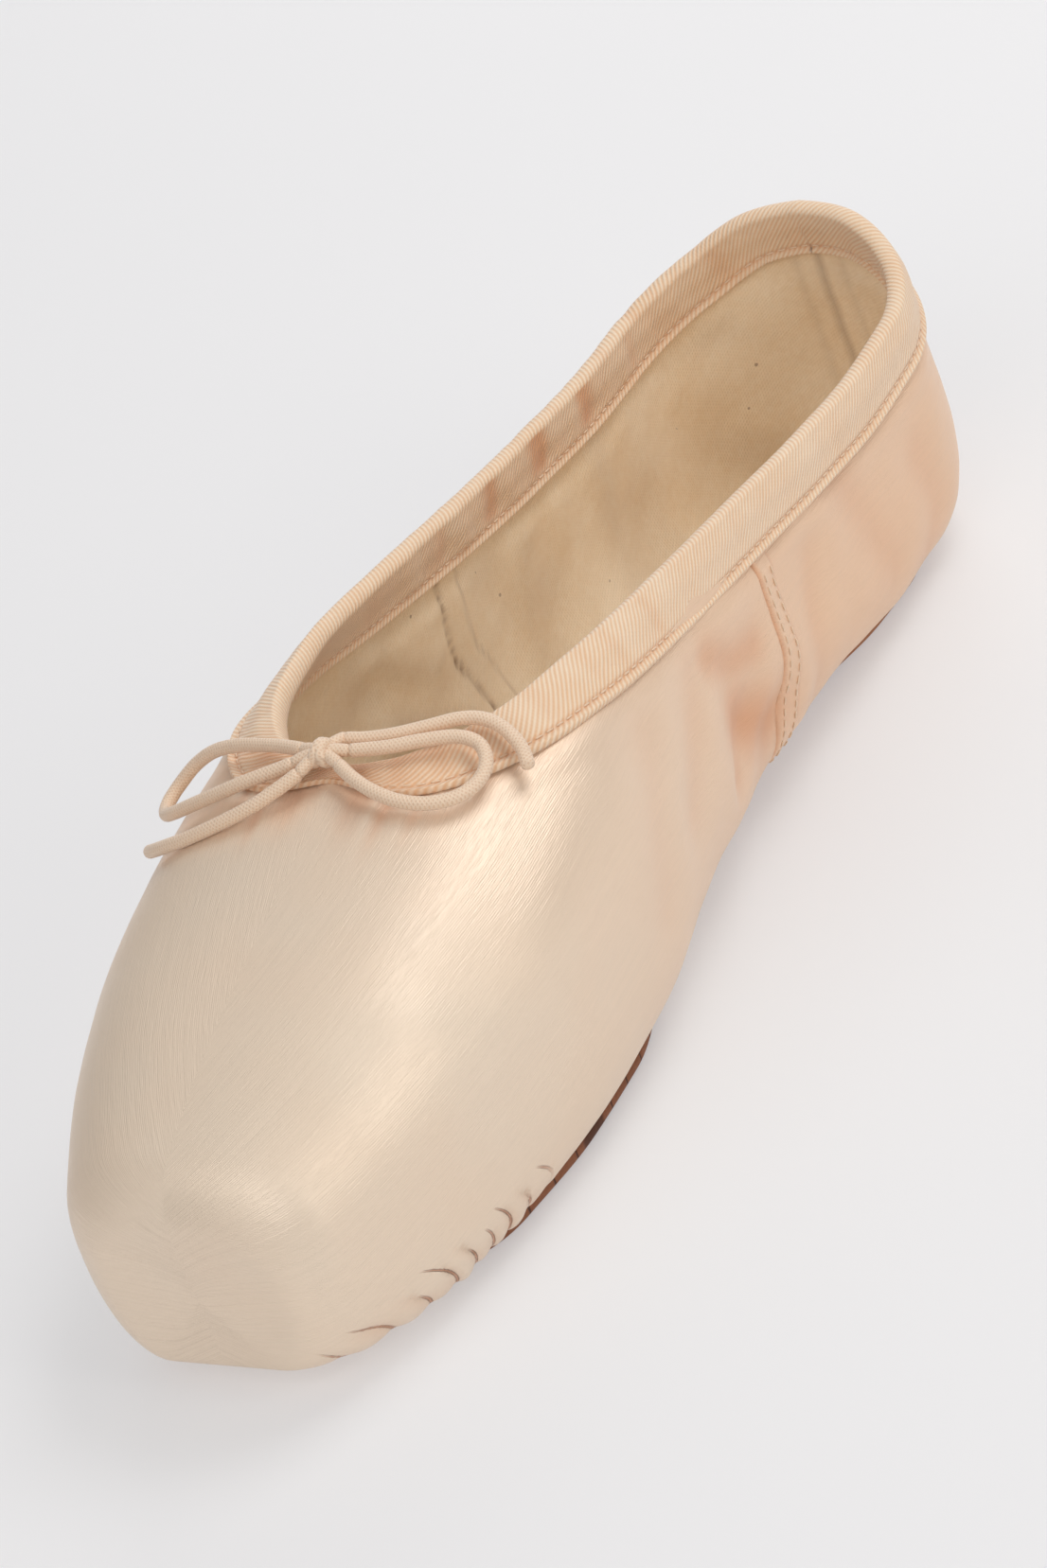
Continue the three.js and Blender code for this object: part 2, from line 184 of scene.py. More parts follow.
@dataclass(frozen=True)
class Column:
    """A monotone cubic through one column of a table.

    Between two rows the value is the Hermite cubic whose end slopes are the harmonic means of
    the rises on both sides, or zero where the rises differ in sign.
    """

    at: Array
    value: Array
    slope: Array

    @classmethod
    def through(cls, rows: list[tuple[float, ...]], column: int) -> Column:
        """Makes the curve of one column.

        Args:
            rows: Rows of a table, whose first column is the distance.
            column: Number of the wanted column.

        Returns:
            The curve.
        """
        table = np.array(rows, dtype=float)
        at, value = table[:, 0], table[:, column]
        rise = np.diff(value) / np.diff(at)
        product = rise[:-1] * rise[1:]
        total = np.where(np.abs(rise[:-1] + rise[1:]) < 1e-12, 1.0, rise[:-1] + rise[1:])
        inner = np.where(product > 0, 2 * product / total, 0.0)
        return cls(at, value, np.concatenate([rise[:1], inner, rise[-1:]]))

    def __call__(self, at: Array) -> Array:
        """The value at each distance.

        Args:
            at: Distances.

        Returns:
            Values, held constant past both ends of the table.
        """
        place = np.clip(at, self.at[0], self.at[-1])
        i = np.clip(np.searchsorted(self.at, place, side="right") - 1, 0, len(self.at) - 2)
        width = self.at[i + 1] - self.at[i]
        u = (place - self.at[i]) / width
        level = self.value[i] * (1 + 2 * u) * (1 - u) ** 2 + self.value[i + 1] * u * u * (3 - 2 * u)
        return level + width * u * (1 - u) * (self.slope[i] * (1 - u) - self.slope[i + 1] * u)


# ---- the last ----


@dataclass(frozen=True)
class Section:
    """Sections of the last, one for each station: every field is an array."""

    t: Array
    turn: Array
    half: Array
    widest: Array
    crown: Array
    flat: Array
    round: Array
    under: Array

    def inset(self, depth: Array | float) -> Section:
        """The sections moved inwards by depth, and the toe platform back by it."""
        return Section(
            t=self.t + depth * np.maximum(1 - self.t / 60.0, 0.0),
            turn=self.turn,
            half=self.half - depth,
            widest=self.widest,
            crown=self.crown - depth,
            flat=self.flat - 0.4 * depth,
            round=self.round,
            under=self.under + depth,
        )


@dataclass(frozen=True)
class Last:
    """The form of the shoe, by the sizes and tables that the model is cut from.

    A section has a flat underside, a lower corner that is a quarter superellipse up to the
    widest line, and an upper quarter superellipse up to the crown. Past the heel centre the
    sections turn a quarter circle about it and blend into the heel back.
    """

    length: float = 240.0
    heel_centre: float = 210.7
    turn_length: float = 43.0
    toe_edge: float = 7.0
    toe_tuck: float = 0.2
    sole_thick: float = 2.0
    gap: float = 0.3
    corner: float = 2.2
    opening_start: float = 36.0
    # distance, half width, height of the widest line, crown, half width of the flat, roundness
    rows: tuple[tuple[float, ...], ...] = (
        (0, 20.5, 21, 38, 12, 2.6),
        (12, 26, 23, 43.4, 19, 2.6),
        (25, 31, 25.5, 48.3, 24, 2.6),
        (45, 36.2, 28.5, 53.6, 26.5, 2.5),
        (65, 39, 31, 57.9, 26.5, 2.4),
        (85, 38.3, 32.5, 61.9, 24, 2.35),
        (105, 35, 32.5, 67, 19, 2.2),
        (130, 31, 29.5, 73.5, 15, 2.2),
        (160, 28.6, 26, 82.5, 14.5, 2.2),
        (190, 27.9, 23, 95, 17, 2.2),
        (210.7, 27.2, 21.5, 104, 17.5, 2.2),
    )
    # half width, height of the widest line, crown, half width of the flat, roundness
    heel_back: tuple[float, ...] = (29.3, 25, 83, 14, 2.2)
    # distance, height of the outsole's underside
    sole_lift: tuple[tuple[float, ...], ...] = (
        (0, 3), (12, 1.2), (24, 0.3), (36, 0), (92, 0), (110, 1.2), (130, 3.1),
        (148, 3.6), (166, 2.7), (182, 0.8), (193, 0), (240, 0),
    )
    # distance, height of the collar edge
    collar: tuple[tuple[float, ...], ...] = (
        (60, 59.7), (82, 59.6), (95, 59.2), (108, 58.2), (128, 55.3), (153, 51.4),
        (178, 47.9), (200, 46), (214, 46.3), (230, 49), (244, 53.4), (253.7, 54.3),
    )
    # distance, thickness of the upper's wall
    wall_rows: tuple[tuple[float, ...], ...] = ((0, 3.2), (50, 3), (78, 2), (110, 1.6), (283, 1.6))
    columns: list[Column] = field(init=False)
    lift: Column = field(init=False)
    collar_height: Column = field(init=False)
    wall: Column = field(init=False)
    throat: float = field(init=False)

    def __post_init__(self) -> None:
        """Makes the curves through the tables, and finds the throat by halving."""
        write = object.__setattr__
        write(self, "columns", [Column.through(list(self.rows), i) for i in range(1, 6)])
        write(self, "lift", Column.through(list(self.sole_lift), 1))
        write(self, "collar_height", Column.through(list(self.collar), 1))
        write(self, "wall", Column.through(list(self.wall_rows), 1))
        low, high = 60.0, 100.0
        while high - low > 1e-4:
            middle = (low + high) / 2
            below = self.section(np.array([middle])).crown[0] < self.collar_height(np.array(middle))
            low, high = (middle, high) if below else (low, middle)
        write(self, "throat", high)

    @property
    def back(self) -> float:
        """The station of the heel back's middle."""
        return self.heel_centre + self.turn_length

    def section(self, s: Array) -> Section:
        """Sections at stations s.

        Args:
            s: Distances from the platform, going on round the heel past the heel centre.

        Returns:
            The sections, with the rounded edge of the platform taken off.
        """
        t = np.minimum(s, self.heel_centre)
        turn = np.maximum(s - self.heel_centre, 0.0) / self.turn_length * (math.pi / 2)
        half, widest, crown, flat, roundness = (column(t) for column in self.columns)
        blend = np.sin(turn) ** 2
        back = self.heel_back
        half = 1 / np.hypot(np.cos(turn) / half, np.sin(turn) / back[0])
        widest = widest * (1 - blend) + back[1] * blend
        crown = crown * (1 - blend) + back[2] * blend
        flat = flat * (1 - blend) + back[3] * blend
        roundness = roundness * (1 - blend) + back[4] * blend
        edge = np.maximum(self.toe_edge - s, 0.0)
        cut = self.toe_edge - np.sqrt(self.toe_edge**2 - edge**2)
        under = self.lift(t) + self.sole_thick + self.gap + self.toe_tuck * cut
        return Section(t, turn, half - 0.8 * cut, widest, crown - cut, flat - 0.5 * cut, roundness, under)

    def profile(self, at: Section, angle: Array) -> tuple[Array, Array]:
        """Half width and height at an angle of a section.

        Args:
            at: The sections.
            angle: Degrees: -180 the underside's middle, -90 its edge, 0 the widest line and
                90 the crown.

        Returns:
            Half widths and heights.
        """
        turn = np.radians(angle)
        up = np.abs(np.sin(turn))
        out = np.clip(np.cos(turn), 0.0, 1.0)
        low, high = 2 / self.corner, 2 / at.round
        half = np.where(angle > 0, at.half * out**high, at.flat + (at.half - at.flat) * out**low)
        rise = at.widest + (at.crown - at.widest) * up**high
        drop = at.widest - (at.widest - at.under) * up**low
        z = np.where(angle > 0, rise, drop)
        below = angle <= -90
        return np.where(below, at.flat * (angle + 180) / 90, half), np.where(below, at.under, z)

    def place(self, at: Section, half: Array, z: Array, side: Side) -> Array:
        """Points in the shoe's frame.

        Args:
            at: The sections.
            half: Half widths on them.
            z: Heights on them.
            side: Right or left.

        Returns:
            Points, in the shape of the arrays and a last axis of 3.
        """
        x = side.value * half * np.cos(at.turn)
        y = at.t - self.length / 2 + half * np.sin(at.turn)
        return np.stack(np.broadcast_arrays(x, y, z), axis=-1)

    def rim_angle(self, s: Array) -> Array:
        """The angle at which each section reaches the collar.

        Args:
            s: Stations.

        Returns:
            Degrees, 90 before the throat.
        """
        at = self.section(s)
        share = np.clip((self.collar_height(s) - at.widest) / (at.crown - at.widest), 0.0, 1.0)
        angle = np.degrees(np.arcsin(np.clip(share ** (at.round / 2), 0.0, 1.0)))
        return np.where(s <= self.throat, 90.0, angle)

    def surface(self, s: Array, angle: Array, side: Side, depth: Array | float = 0.0) -> Array:
        """Points of the last's skin, or of a skin inside it.

        Args:
            s: Stations.
            angle: Degrees round the section, as in profile().
            side: Right or left.
            depth: How far inside the last the skin lies.

        Returns:
            Points, (..., 3).
        """
        at = self.section(s).inset(depth)
        return self.place(at, *self.profile(at, angle), side)

    def outside(self, points: Array) -> Array:
        """How far points lie outside the upper quarter: zero on it, negative inside.

        The sum of the half width and the rise over the widest line, each as a share of its
        semi-axis and raised to the roundness, less one.

        Args:
            points: Points, (..., 3).

        Returns:
            That sum at each.
        """
        y = points[..., 1] + self.length / 2
        round_heel = y > self.heel_centre
        turn = np.where(round_heel, np.arctan2(y - self.heel_centre, np.abs(points[..., 0])), 0.0)
        at = self.section(np.where(round_heel, self.heel_centre + turn / (math.pi / 2) * self.turn_length, y))
        half = np.where(round_heel, np.hypot(points[..., 0], y - self.heel_centre), np.abs(points[..., 0]))
        rise = np.maximum(points[..., 2] - at.widest, 0.0) / (at.crown - at.widest)
        return (half / at.half) ** at.round + rise**at.round - 1

    def slope(self, points: Array) -> Array:
        """The gradient of outside(), by central differences.

        Args:
            points: Points, (..., 3).

        Returns:
            Gradients, (..., 3).
        """
        step = 0.05
        moves = np.eye(3) * step
        return np.stack(
            [(self.outside(points + move) - self.outside(points - move)) / (2 * step) for move in moves],
            axis=-1,
        )

    def onto(self, points: Array) -> Array:
        """Brings points onto the upper quarter by Newton steps along the gradient.

        Args:
            points: Points near it, (..., 3).

        Returns:
            Points on it.
        """
        moved = points
        for _ in range(4):
            slope = self.slope(moved)
            moved = moved - slope * (self.outside(moved) / (slope**2).sum(-1))[..., None]
        return moved


@dataclass(frozen=True)
class Rim:
    """The collar edge as a closed loop, evenly spaced by length.

    reach is the signed length from the throat: positive on the right, negative on the left.
    """

    last: Last
    reach: Array
    point: Array
    normal: Array
    down: Array

    @classmethod
    def around(cls, last: Last, count: int) -> Rim:
        """Walks the rim from heel back over the left side, the throat and the right side.

        Args:
            last: The shoe's form.
            count: Points on each side.

        Returns:
            The loop, 2 * count points from the heel back, which isn't repeated.
        """
        share = np.linspace(0.0, 1.0, 1500) ** 2
        s = last.throat + (last.back - last.throat) * share
        fine = last.surface(s, last.rim_angle(s), Side.RIGHT)
        fine[0, 0] = 0.0
        length = lengths_along(fine)
        reach = np.linspace(-length[-1], length[-1], 2 * count + 1)[:-1]
        right = np.stack([np.interp(np.abs(reach), length, fine[:, k]) for k in range(3)], axis=-1)
        point = to_side(right, reach)
        along = unit(np.roll(point, -1, axis=0) - np.roll(point, 1, axis=0))
        normal = unit(last.slope(point))
        down = unit(np.cross(along, normal))
        return cls(last, reach, point, normal, down)

    def slide(self, distance: Array, count: int = 16) -> tuple[Array, Array]:
        """Walks down from the rim over the upper, at right angles to it.

        The walk is made in even steps, and a place between two steps is their weighted mean.

        Args:
            distance: How far down each wanted place lies, (rows, number of rim points).
            count: Steps on the way to the farthest.

        Returns:
            Points and normals, each (rows, number of rim points, 3).
        """
        step = float(distance.max()) / count
        points, normals = [self.point], [self.normal]
        heading = self.down
        for _ in range(count):
            ahead = self.last.onto(points[-1] + heading * step)
            heading = unit(ahead - points[-1])
            points.append(ahead)
            normals.append(unit(self.last.slope(ahead)))
        place = distance / step
        before = np.clip(place.astype(int), 0, count - 1)
        share = (place - before)[..., None]
        column = np.arange(len(self.reach))

        def between(values: Array) -> Array:
            """Weighted mean of the steps before and after each place."""
            return values[before, column] * (1 - share) + values[before + 1, column] * share

        return between(np.stack(points)), unit(between(np.stack(normals)))


# ---- meshes ----


class MeshMaker:
    """Collects grids of points and turns them into one welded mesh."""

    def __init__(self, name: str) -> None:
        """Starts an empty mesh.

        Args:
            name: Name of the mesh and of the object that it becomes.
        """
        self.name = name
        self.points: list[Array] = []
        self.maps: list[Array] = []
        self.shades: list[Array] = []
        self.quads: list[Array] = []
        self.count = 0

    def grid(self, points: Array, cloth: Array, shade: Array | None = None) -> Array:
        """Adds points.

        Args:
            points: Points in millimetres, (..., 3).
            cloth: Their place on the cloth in millimetres, (..., 2).
            shade: The shade painted on each, 0 to 1, deepest in folds and grooves.

        Returns:
            The points' numbers, in the shape of the grid.
        """
        shape = points.shape[:-1]
        size = int(np.prod(shape))
        self.points.append(points.reshape(-1, 3))
        self.maps.append(np.broadcast_to(cloth, (*shape, 2)).reshape(-1, 2) * CLOTH_UV)
        self.shades.append(np.zeros(size) if shade is None else np.broadcast_to(shade, shape).ravel())
        index = np.arange(self.count, self.count + size).reshape(shape)
        self.count += size
        return index

    def skin(self, index: Array, flip: bool = False) -> None:
        """Covers a grid with quads that face rows cross columns.

        Args:
            index: The points' numbers, (rows, columns).
            flip: Whether they face the other way.
        """
        corners = np.stack([index[:-1, :-1], index[1:, :-1], index[1:, 1:], index[:-1, 1:]], axis=-1)
        flat = corners.reshape(-1, 4)
        self.quads.append(flat[:, ::-1] if flip else flat)

    def strip(self, low: Array, high: Array, flip: bool = False) -> None:
        """Covers the strip between two lines of points' numbers."""
        self.skin(np.stack([low, high], axis=1), flip)

    def plate(self, x: Array, y: Array, low: Array, high: Array, shade: Array | None = None) -> None:
        """Adds a closed plate, whose side lines meet at both ends.

        Args:
            x: Places across, (rows, columns).
            y: Places along.
            low: Heights of the underside.
            high: Heights of the top.
            shade: The shade painted on the underside, deepest in grooves.
        """
        cloth = np.stack([x, y], axis=-1)
        below = self.grid(np.stack([x, y, low], axis=-1), cloth, shade)
        above = self.grid(np.stack([x, y, np.broadcast_to(high, x.shape)], axis=-1), cloth)
        self.skin(below)
        self.skin(above, flip=True)
        self.strip(above[:, 0], below[:, 0])
        self.strip(below[:, -1], above[:, -1])

    def finish(self, material: Material) -> Piece:
        """Welds equal points, drops collapsed corners and makes the object.

        Args:
            material: The finish of the whole mesh.

        Returns:
            The object, at the origin, with its cloth map and its shade attribute.
        """
        points = np.concatenate(self.points)
        quads = np.concatenate(self.quads)
        keys = np.round(points * 2e3).astype(np.int64)
        _, first, remap = np.unique(keys, axis=0, return_index=True, return_inverse=True)
        corners = remap.ravel()[quads]
        kept = corners != np.roll(corners, -1, axis=1)
        total = kept.sum(axis=1)
        real = total >= 3
        kept &= real[:, None]
        loops = corners[kept]
        sources = quads[kept]
        starts = np.concatenate([[0], np.cumsum(total[real])[:-1]])
        mesh = bpy.data.meshes.new(self.name)
        mesh.vertices.add(len(first))
        mesh.vertices.foreach_set("co", (points[first] * METRE).astype(np.float32).ravel())
        mesh.loops.add(len(loops))
        mesh.loops.foreach_set("vertex_index", loops.astype(np.int32))
        mesh.polygons.add(int(real.sum()))
        mesh.polygons.foreach_set("loop_start", starts.astype(np.int32))
        mesh.polygons.foreach_set("use_smooth", np.ones(int(real.sum()), dtype=bool))
        cloth = mesh.uv_layers.new(name="cloth")
        cloth.uv.foreach_set("vector", np.concatenate(self.maps)[sources].astype(np.float32).ravel())
        shade = mesh.attributes.new("shade", "FLOAT", "POINT")
        shade.data.foreach_set("value", np.concatenate(self.shades)[first].astype(np.float32))
        mesh.update(calc_edges=True)
        mesh.validate()
        mesh.materials.append(material)
        made = bpy.data.objects.new(self.name, mesh)
        bpy.context.collection.objects.link(made)
        LOG.info("%s: %d faces", self.name, len(mesh.polygons))
        return made


def grid_normals(points: Array, flip: bool) -> Array:
    """Normals of a grid of points: the cross product of its two central differences.

    On the middle plane, where x is zero, the sideways part is dropped, so that the two
    halves of the shoe meet without a step.

    Args:
        points: The grid, (rows, columns, 3).
        flip: Whether the normals point the other way.

    Returns:
        Unit normals, (rows, columns, 3).
    """
    rows = np.gradient(points, axis=0)
    columns = np.gradient(points, axis=1)
    normal = np.cross(rows, columns) * (-1.0 if flip else 1.0)
    thin = np.linalg.norm(normal, axis=-1) < 1e-7
    normal[thin] = (0.0, -1.0, 0.0)
    normal[np.abs(points[..., 0]) < 1e-6, 0] = 0.0
    return unit(normal)


def tube(maker: MeshMaker, path: Array, radius: Array, sides: int, closed: bool = False) -> None:
    """Adds a tube round a path.

    Each ring is a circle in the plane square to the path: level sideways times the cosine
    plus upwards times the sine. An open tube has a radius of zero at both ends.

    Args:
        maker: The mesh that takes it.
        path: Points of the middle line, (n, 3).
        radius: Radius at each point, (n,).
        sides: Corners in a ring.
        closed: Whether the path's end meets its start.
    """
    ahead = np.roll(path, -1, axis=0) if closed else np.vstack([path[1:], path[-1:]])
    behind = np.roll(path, 1, axis=0) if closed else np.vstack([path[:1], path[:-1]])
    along = unit(ahead - behind)
    across = unit(np.cross(along, np.array([0.02, 0.05, 1.0])))
    lift = np.cross(across, along)
    turn = np.linspace(0.0, 2 * math.pi, sides + 1)
    ring = across[:, None] * np.cos(turn)[None, :, None] + lift[:, None] * np.sin(turn)[None, :, None]
    points = path[:, None] + ring * radius[:, None, None]
    points[:, -1] = points[:, 0]
    reach = lengths_along(path)
    around = turn / (2 * math.pi)
    cloth = np.stack(np.broadcast_arrays(around[None, :] * 6.9, reach[:, None]), axis=-1)
    index = maker.grid(points, cloth)
    maker.skin(np.vstack([index, index[:1]]) if closed else index)


@dataclass(frozen=True)
class StitchRow:
    """Thread stitches along a line: each is a slim spindle, half sunk into the cloth."""

    maker: MeshMaker
    length: float = 1.6
    pitch: float = 2.2
    radius: float = 0.15
    rings: int = 6
    sides: int = 6

    def sew(self, line: Array, normal: Array) -> None:
        """Adds the stitches of one row.

        A spindle's radius is the square root of one minus the sixth power of its place
        along itself, so it is nearly a cylinder with round ends.

        Args:
            line: Points of the row, (n, 3).
            normal: The cloth's normal at each, (n, 3).
        """
        reach = lengths_along(line)
        spots = np.arange(self.pitch / 2, reach[-1], self.pitch)

        def along_line(values: Array, at: Array) -> Array:
            """Vectors of the row at lengths along it."""
            return np.stack([np.interp(at, reach, values[:, k]) for k in range(3)], axis=-1)

        centre = along_line(line, spots)
        tangent = unit(along_line(line, spots + 0.4) - along_line(line, spots - 0.4))
        out = unit(along_line(normal, spots))
        aside = np.cross(tangent, out)
        place = np.linspace(-1.0, 1.0, self.rings + 1)
        thick = self.radius * np.sqrt(np.maximum(1 - place**6, 0.0))
        turn = np.linspace(0.0, 2 * math.pi, self.sides + 1)
        bow = 0.35 * self.radius * (1 - place**2)
        points = (
            centre[:, None, None]
            + tangent[:, None, None] * (place * self.length / 2)[None, :, None, None]
            + out[:, None, None] * (bow[:, None] + thick[:, None] * np.sin(turn))[None, :, :, None]
            + aside[:, None, None] * (thick[:, None] * np.cos(turn))[None, :, :, None]
        )
        points[:, :, -1] = points[:, :, 0]
        cloth = np.stack(np.broadcast_arrays(turn[None, :] * 0.3, (place * self.length)[:, None]), axis=-1)
        for one in self.maker.grid(points, np.broadcast_to(cloth, (*points.shape[:-1], 2))):
            self.maker.skin(one)


@dataclass(frozen=True)
class Pleats:
    """The satin gathered under the toe, as radial folds round a point below the toe box.

    A fold's phase is its bearing from the centre, in folds, bent a little by a slow wave and,
    above the sole's edge, by the square of the height. Each fold has a height of its own.
    """

    centre: float = -78.0
    per_turn: float = 40.0
    depth: float = 0.9
    wave: float = 0.25
    wave_pace: float = 5.3
    bend: float = 0.014
    bend_from: float = 4.0
    lowest_top: float = 8.5
    top_range: float = 4.5
    line: float = 0.38
    first: float = 60.0
    shuffle: float = 2.4

    def relief(self, points: Array) -> tuple[Array, Array]:
        """The folds' height over the last, and their faint shade.

        Args:
            points: Points of the skin.

        Returns:
            Rounded folds, the sine of half a turn over each, sunk to lie evenly about the
            last, and the shade painted between them.
        """
        x, y, z = points[..., 0], points[..., 1], points[..., 2]
        bearing = np.arctan2(x, self.centre - y)
        hook = self.bend * np.maximum(z - self.bend_from, 0.0) ** 2 * np.sign(x)
        phase = bearing / (2 * math.pi) * self.per_turn + hook + self.first
        phase = phase + self.wave * np.sin(self.wave_pace * bearing)
        number = np.floor(phase)
        share = phase - number
        chance = 0.5 + 0.5 * np.sin(number * self.shuffle)
        here = smoothstep(0.0, -4.0, z - self.lowest_top - self.top_range * chance)
        here = here * smoothstep(-119.5, -113.0, y) * smoothstep(-70.0, -80.0, y)
        here = here * smoothstep(10.0, 16.0, np.hypot(x, self.centre - y))
        fold = np.sin(math.pi * share**0.8) * (0.55 + 0.45 * chance)
        return here * self.depth * (fold - 0.62), here * 0.25 * (1 - fold)


# ---- finishes ----


def srgb(red: int, green: int, blue: int) -> Color:
    """An opaque colour for a shader socket, from its display values of 0 to 255."""
    parts = (value / 255 for value in (red, green, blue))
    return (*(part / 12.92 if part <= 0.04045 else ((part + 0.055) / 1.055) ** 2.4 for part in parts), 1.0)


def add_node(
    tree: bpy.types.NodeTree, kind: str, inputs: dict | None = None, **settings: object
) -> bpy.types.Node:
    """Adds a node to a tree.

    Args:
        tree: The tree.
        kind: Blender's name of the node type, after ShaderNode.
        inputs: Values or output sockets for its inputs, by name or number.
        settings: Values for its own properties.

    Returns:
        The node.
    """
    made = tree.nodes.new("ShaderNode" + kind)
    for name, value in settings.items():
        setattr(made, name, value)
    for name, value in (inputs or {}).items():
        feed(tree, made.inputs[name], value)
    return made


def feed(tree: bpy.types.NodeTree, socket: Socket, value: Value | Color) -> None:
    """Links a socket to an input, or writes a plain value into it."""
    if isinstance(value, Socket):
        tree.links.new(value, socket)
    else:
        socket.default_value = value


class Wiring:
    """The node tree of one material, with short calls for the nodes that the finishes share."""

    def __init__(self, name: str) -> None:
        """Makes a material that holds one Principled shader.

        Args:
            name: The material's name.
        """
        self.material = bpy.data.materials.new(name)
        self.material.use_nodes = True
        self.tree = self.material.node_tree
        self.shader = next(node for node in self.tree.nodes if node.type == "BSDF_PRINCIPLED")

    def node(self, kind: str, inputs: dict | None = None, **settings: object) -> bpy.types.Node:
        """Adds a node to the material, as add_node() does."""
        return add_node(self.tree, kind, inputs, **settings)

    def math(self, operation: str, first: Value, second: Value = 0.0, third: Value = 0.0) -> Socket:
        """The result of one arithmetic node, by Blender's name of the operation."""
        inputs = {0: first, 1: second, 2: third}
        return self.node("Math", inputs, operation=operation).outputs[0]

    def plus(self, first: Value, second: Value) -> Socket:
        """The sum of two values."""
        return self.math("ADD", first, second)

    def minus(self, first: Value, second: Value) -> Socket:
        """The first value less the second."""
        return self.math("SUBTRACT", first, second)

    def times(self, first: Value, second: Value) -> Socket:
        """The product of two values."""
        return self.math("MULTIPLY", first, second)

    def scaled(self, value: Socket, factor: Value, offset: Value) -> Socket:
        """A value times a factor, with an offset added."""
        return self.math("MULTIPLY_ADD", value, factor, offset)

    def mix(self, share: Socket, first: Tone, second: Tone) -> Socket:
        """The colour at a share of the way from the first to the second."""
        made = self.node("Mix", {0: share, 6: first, 7: second}, data_type="RGBA")
        return made.outputs[2]

    def ramp(self, value: Socket, low: float, high: float) -> Socket:
        """Eases a value from 0 to 1.

        Args:
            value: The value.
            low: Where the result is 0.
            high: Where it is 1, above or below low.

        Returns:
            The eased share.
        """
        inputs = {"Value": value, "From Min": low, "From Max": high}
        made = self.node("MapRange", inputs, interpolation_type="SMOOTHSTEP")
        return made.outputs[0]

    def noise(
        self, place: Socket, scale: float, detail: float = 2.0, stretch: Triple | None = None
    ) -> Socket:
        """Adds a noise.

        Args:
            place: Where it is read.
            scale: How many of its waves lie in one unit of place.
            detail: How many finer noises are laid over it.
            stretch: Factors for the place, before it is read.

        Returns:
            A value from 0 to 1.
        """
        if stretch is not None:
            place = self.node("Mapping", {"Vector": place, "Scale": stretch}).outputs[0]
        return self.node("TexNoise", {"Vector": place, "Scale": scale, "Detail": detail}).outputs[0]

    def space(self) -> Socket:
        """The place on the object, in metres."""
        return self.node("TexCoord").outputs["Object"]

    def cloth(self) -> tuple[Socket, Socket]:
        """Reads the cloth map.

        Returns:
            The places across and along the cloth, in millimetres.
        """
        read = self.node("UVMap", uv_map="cloth").outputs[0]
        parts = self.node("SeparateXYZ", {0: read})
        scale = 1 / CLOTH_UV
        return self.times(parts.outputs[0], scale), self.times(parts.outputs[1], scale)

    def shade(self) -> Socket:
        """The shade painted on a point, 0 to 1, deepest in folds and grooves."""
        return self.node("Attribute", attribute_name="shade").outputs["Fac"]

    def wave(self, value: Socket, pitch: float) -> Socket:
        """A smooth ridge from 0 to 1 that repeats every pitch."""
        turn = self.times(value, 2 * math.pi / pitch)
        return self.scaled(self.math("SINE", turn), 0.5, 0.5)

    def bump(self, height: Socket, depth_mm: float, under: Socket | None = None) -> Socket:
        """Adds a relief.

        Args:
            height: Its height, 0 to 1.
            depth_mm: How much height 1 stands over height 0.
            under: The normal that it lies on, if not the mesh's own.

        Returns:
            The normal.
        """
        inputs = {"Height": height, "Distance": depth_mm * METRE, "Strength": 1.0}
        if under is not None:
            inputs["Normal"] = under
        return self.node("Bump", inputs).outputs[0]

    def finish(
        self, color: Tone, normal: Socket | None, **sockets: Value | Color
    ) -> Material:
        """Feeds the shader.

        Args:
            color: Base colour, a value or a socket.
            normal: The bumped normal, if any.
            sockets: Other inputs by name, with _ for a space.

        Returns:
            The finished material.
        """
        feed(self.tree, self.shader.inputs["Base Color"], color)
        if normal is not None:
            feed(self.tree, self.shader.inputs["Normal"], normal)
        for name, value in sockets.items():
            feed(self.tree, self.shader.inputs[name.replace("_", " ")], value)
        return self.material


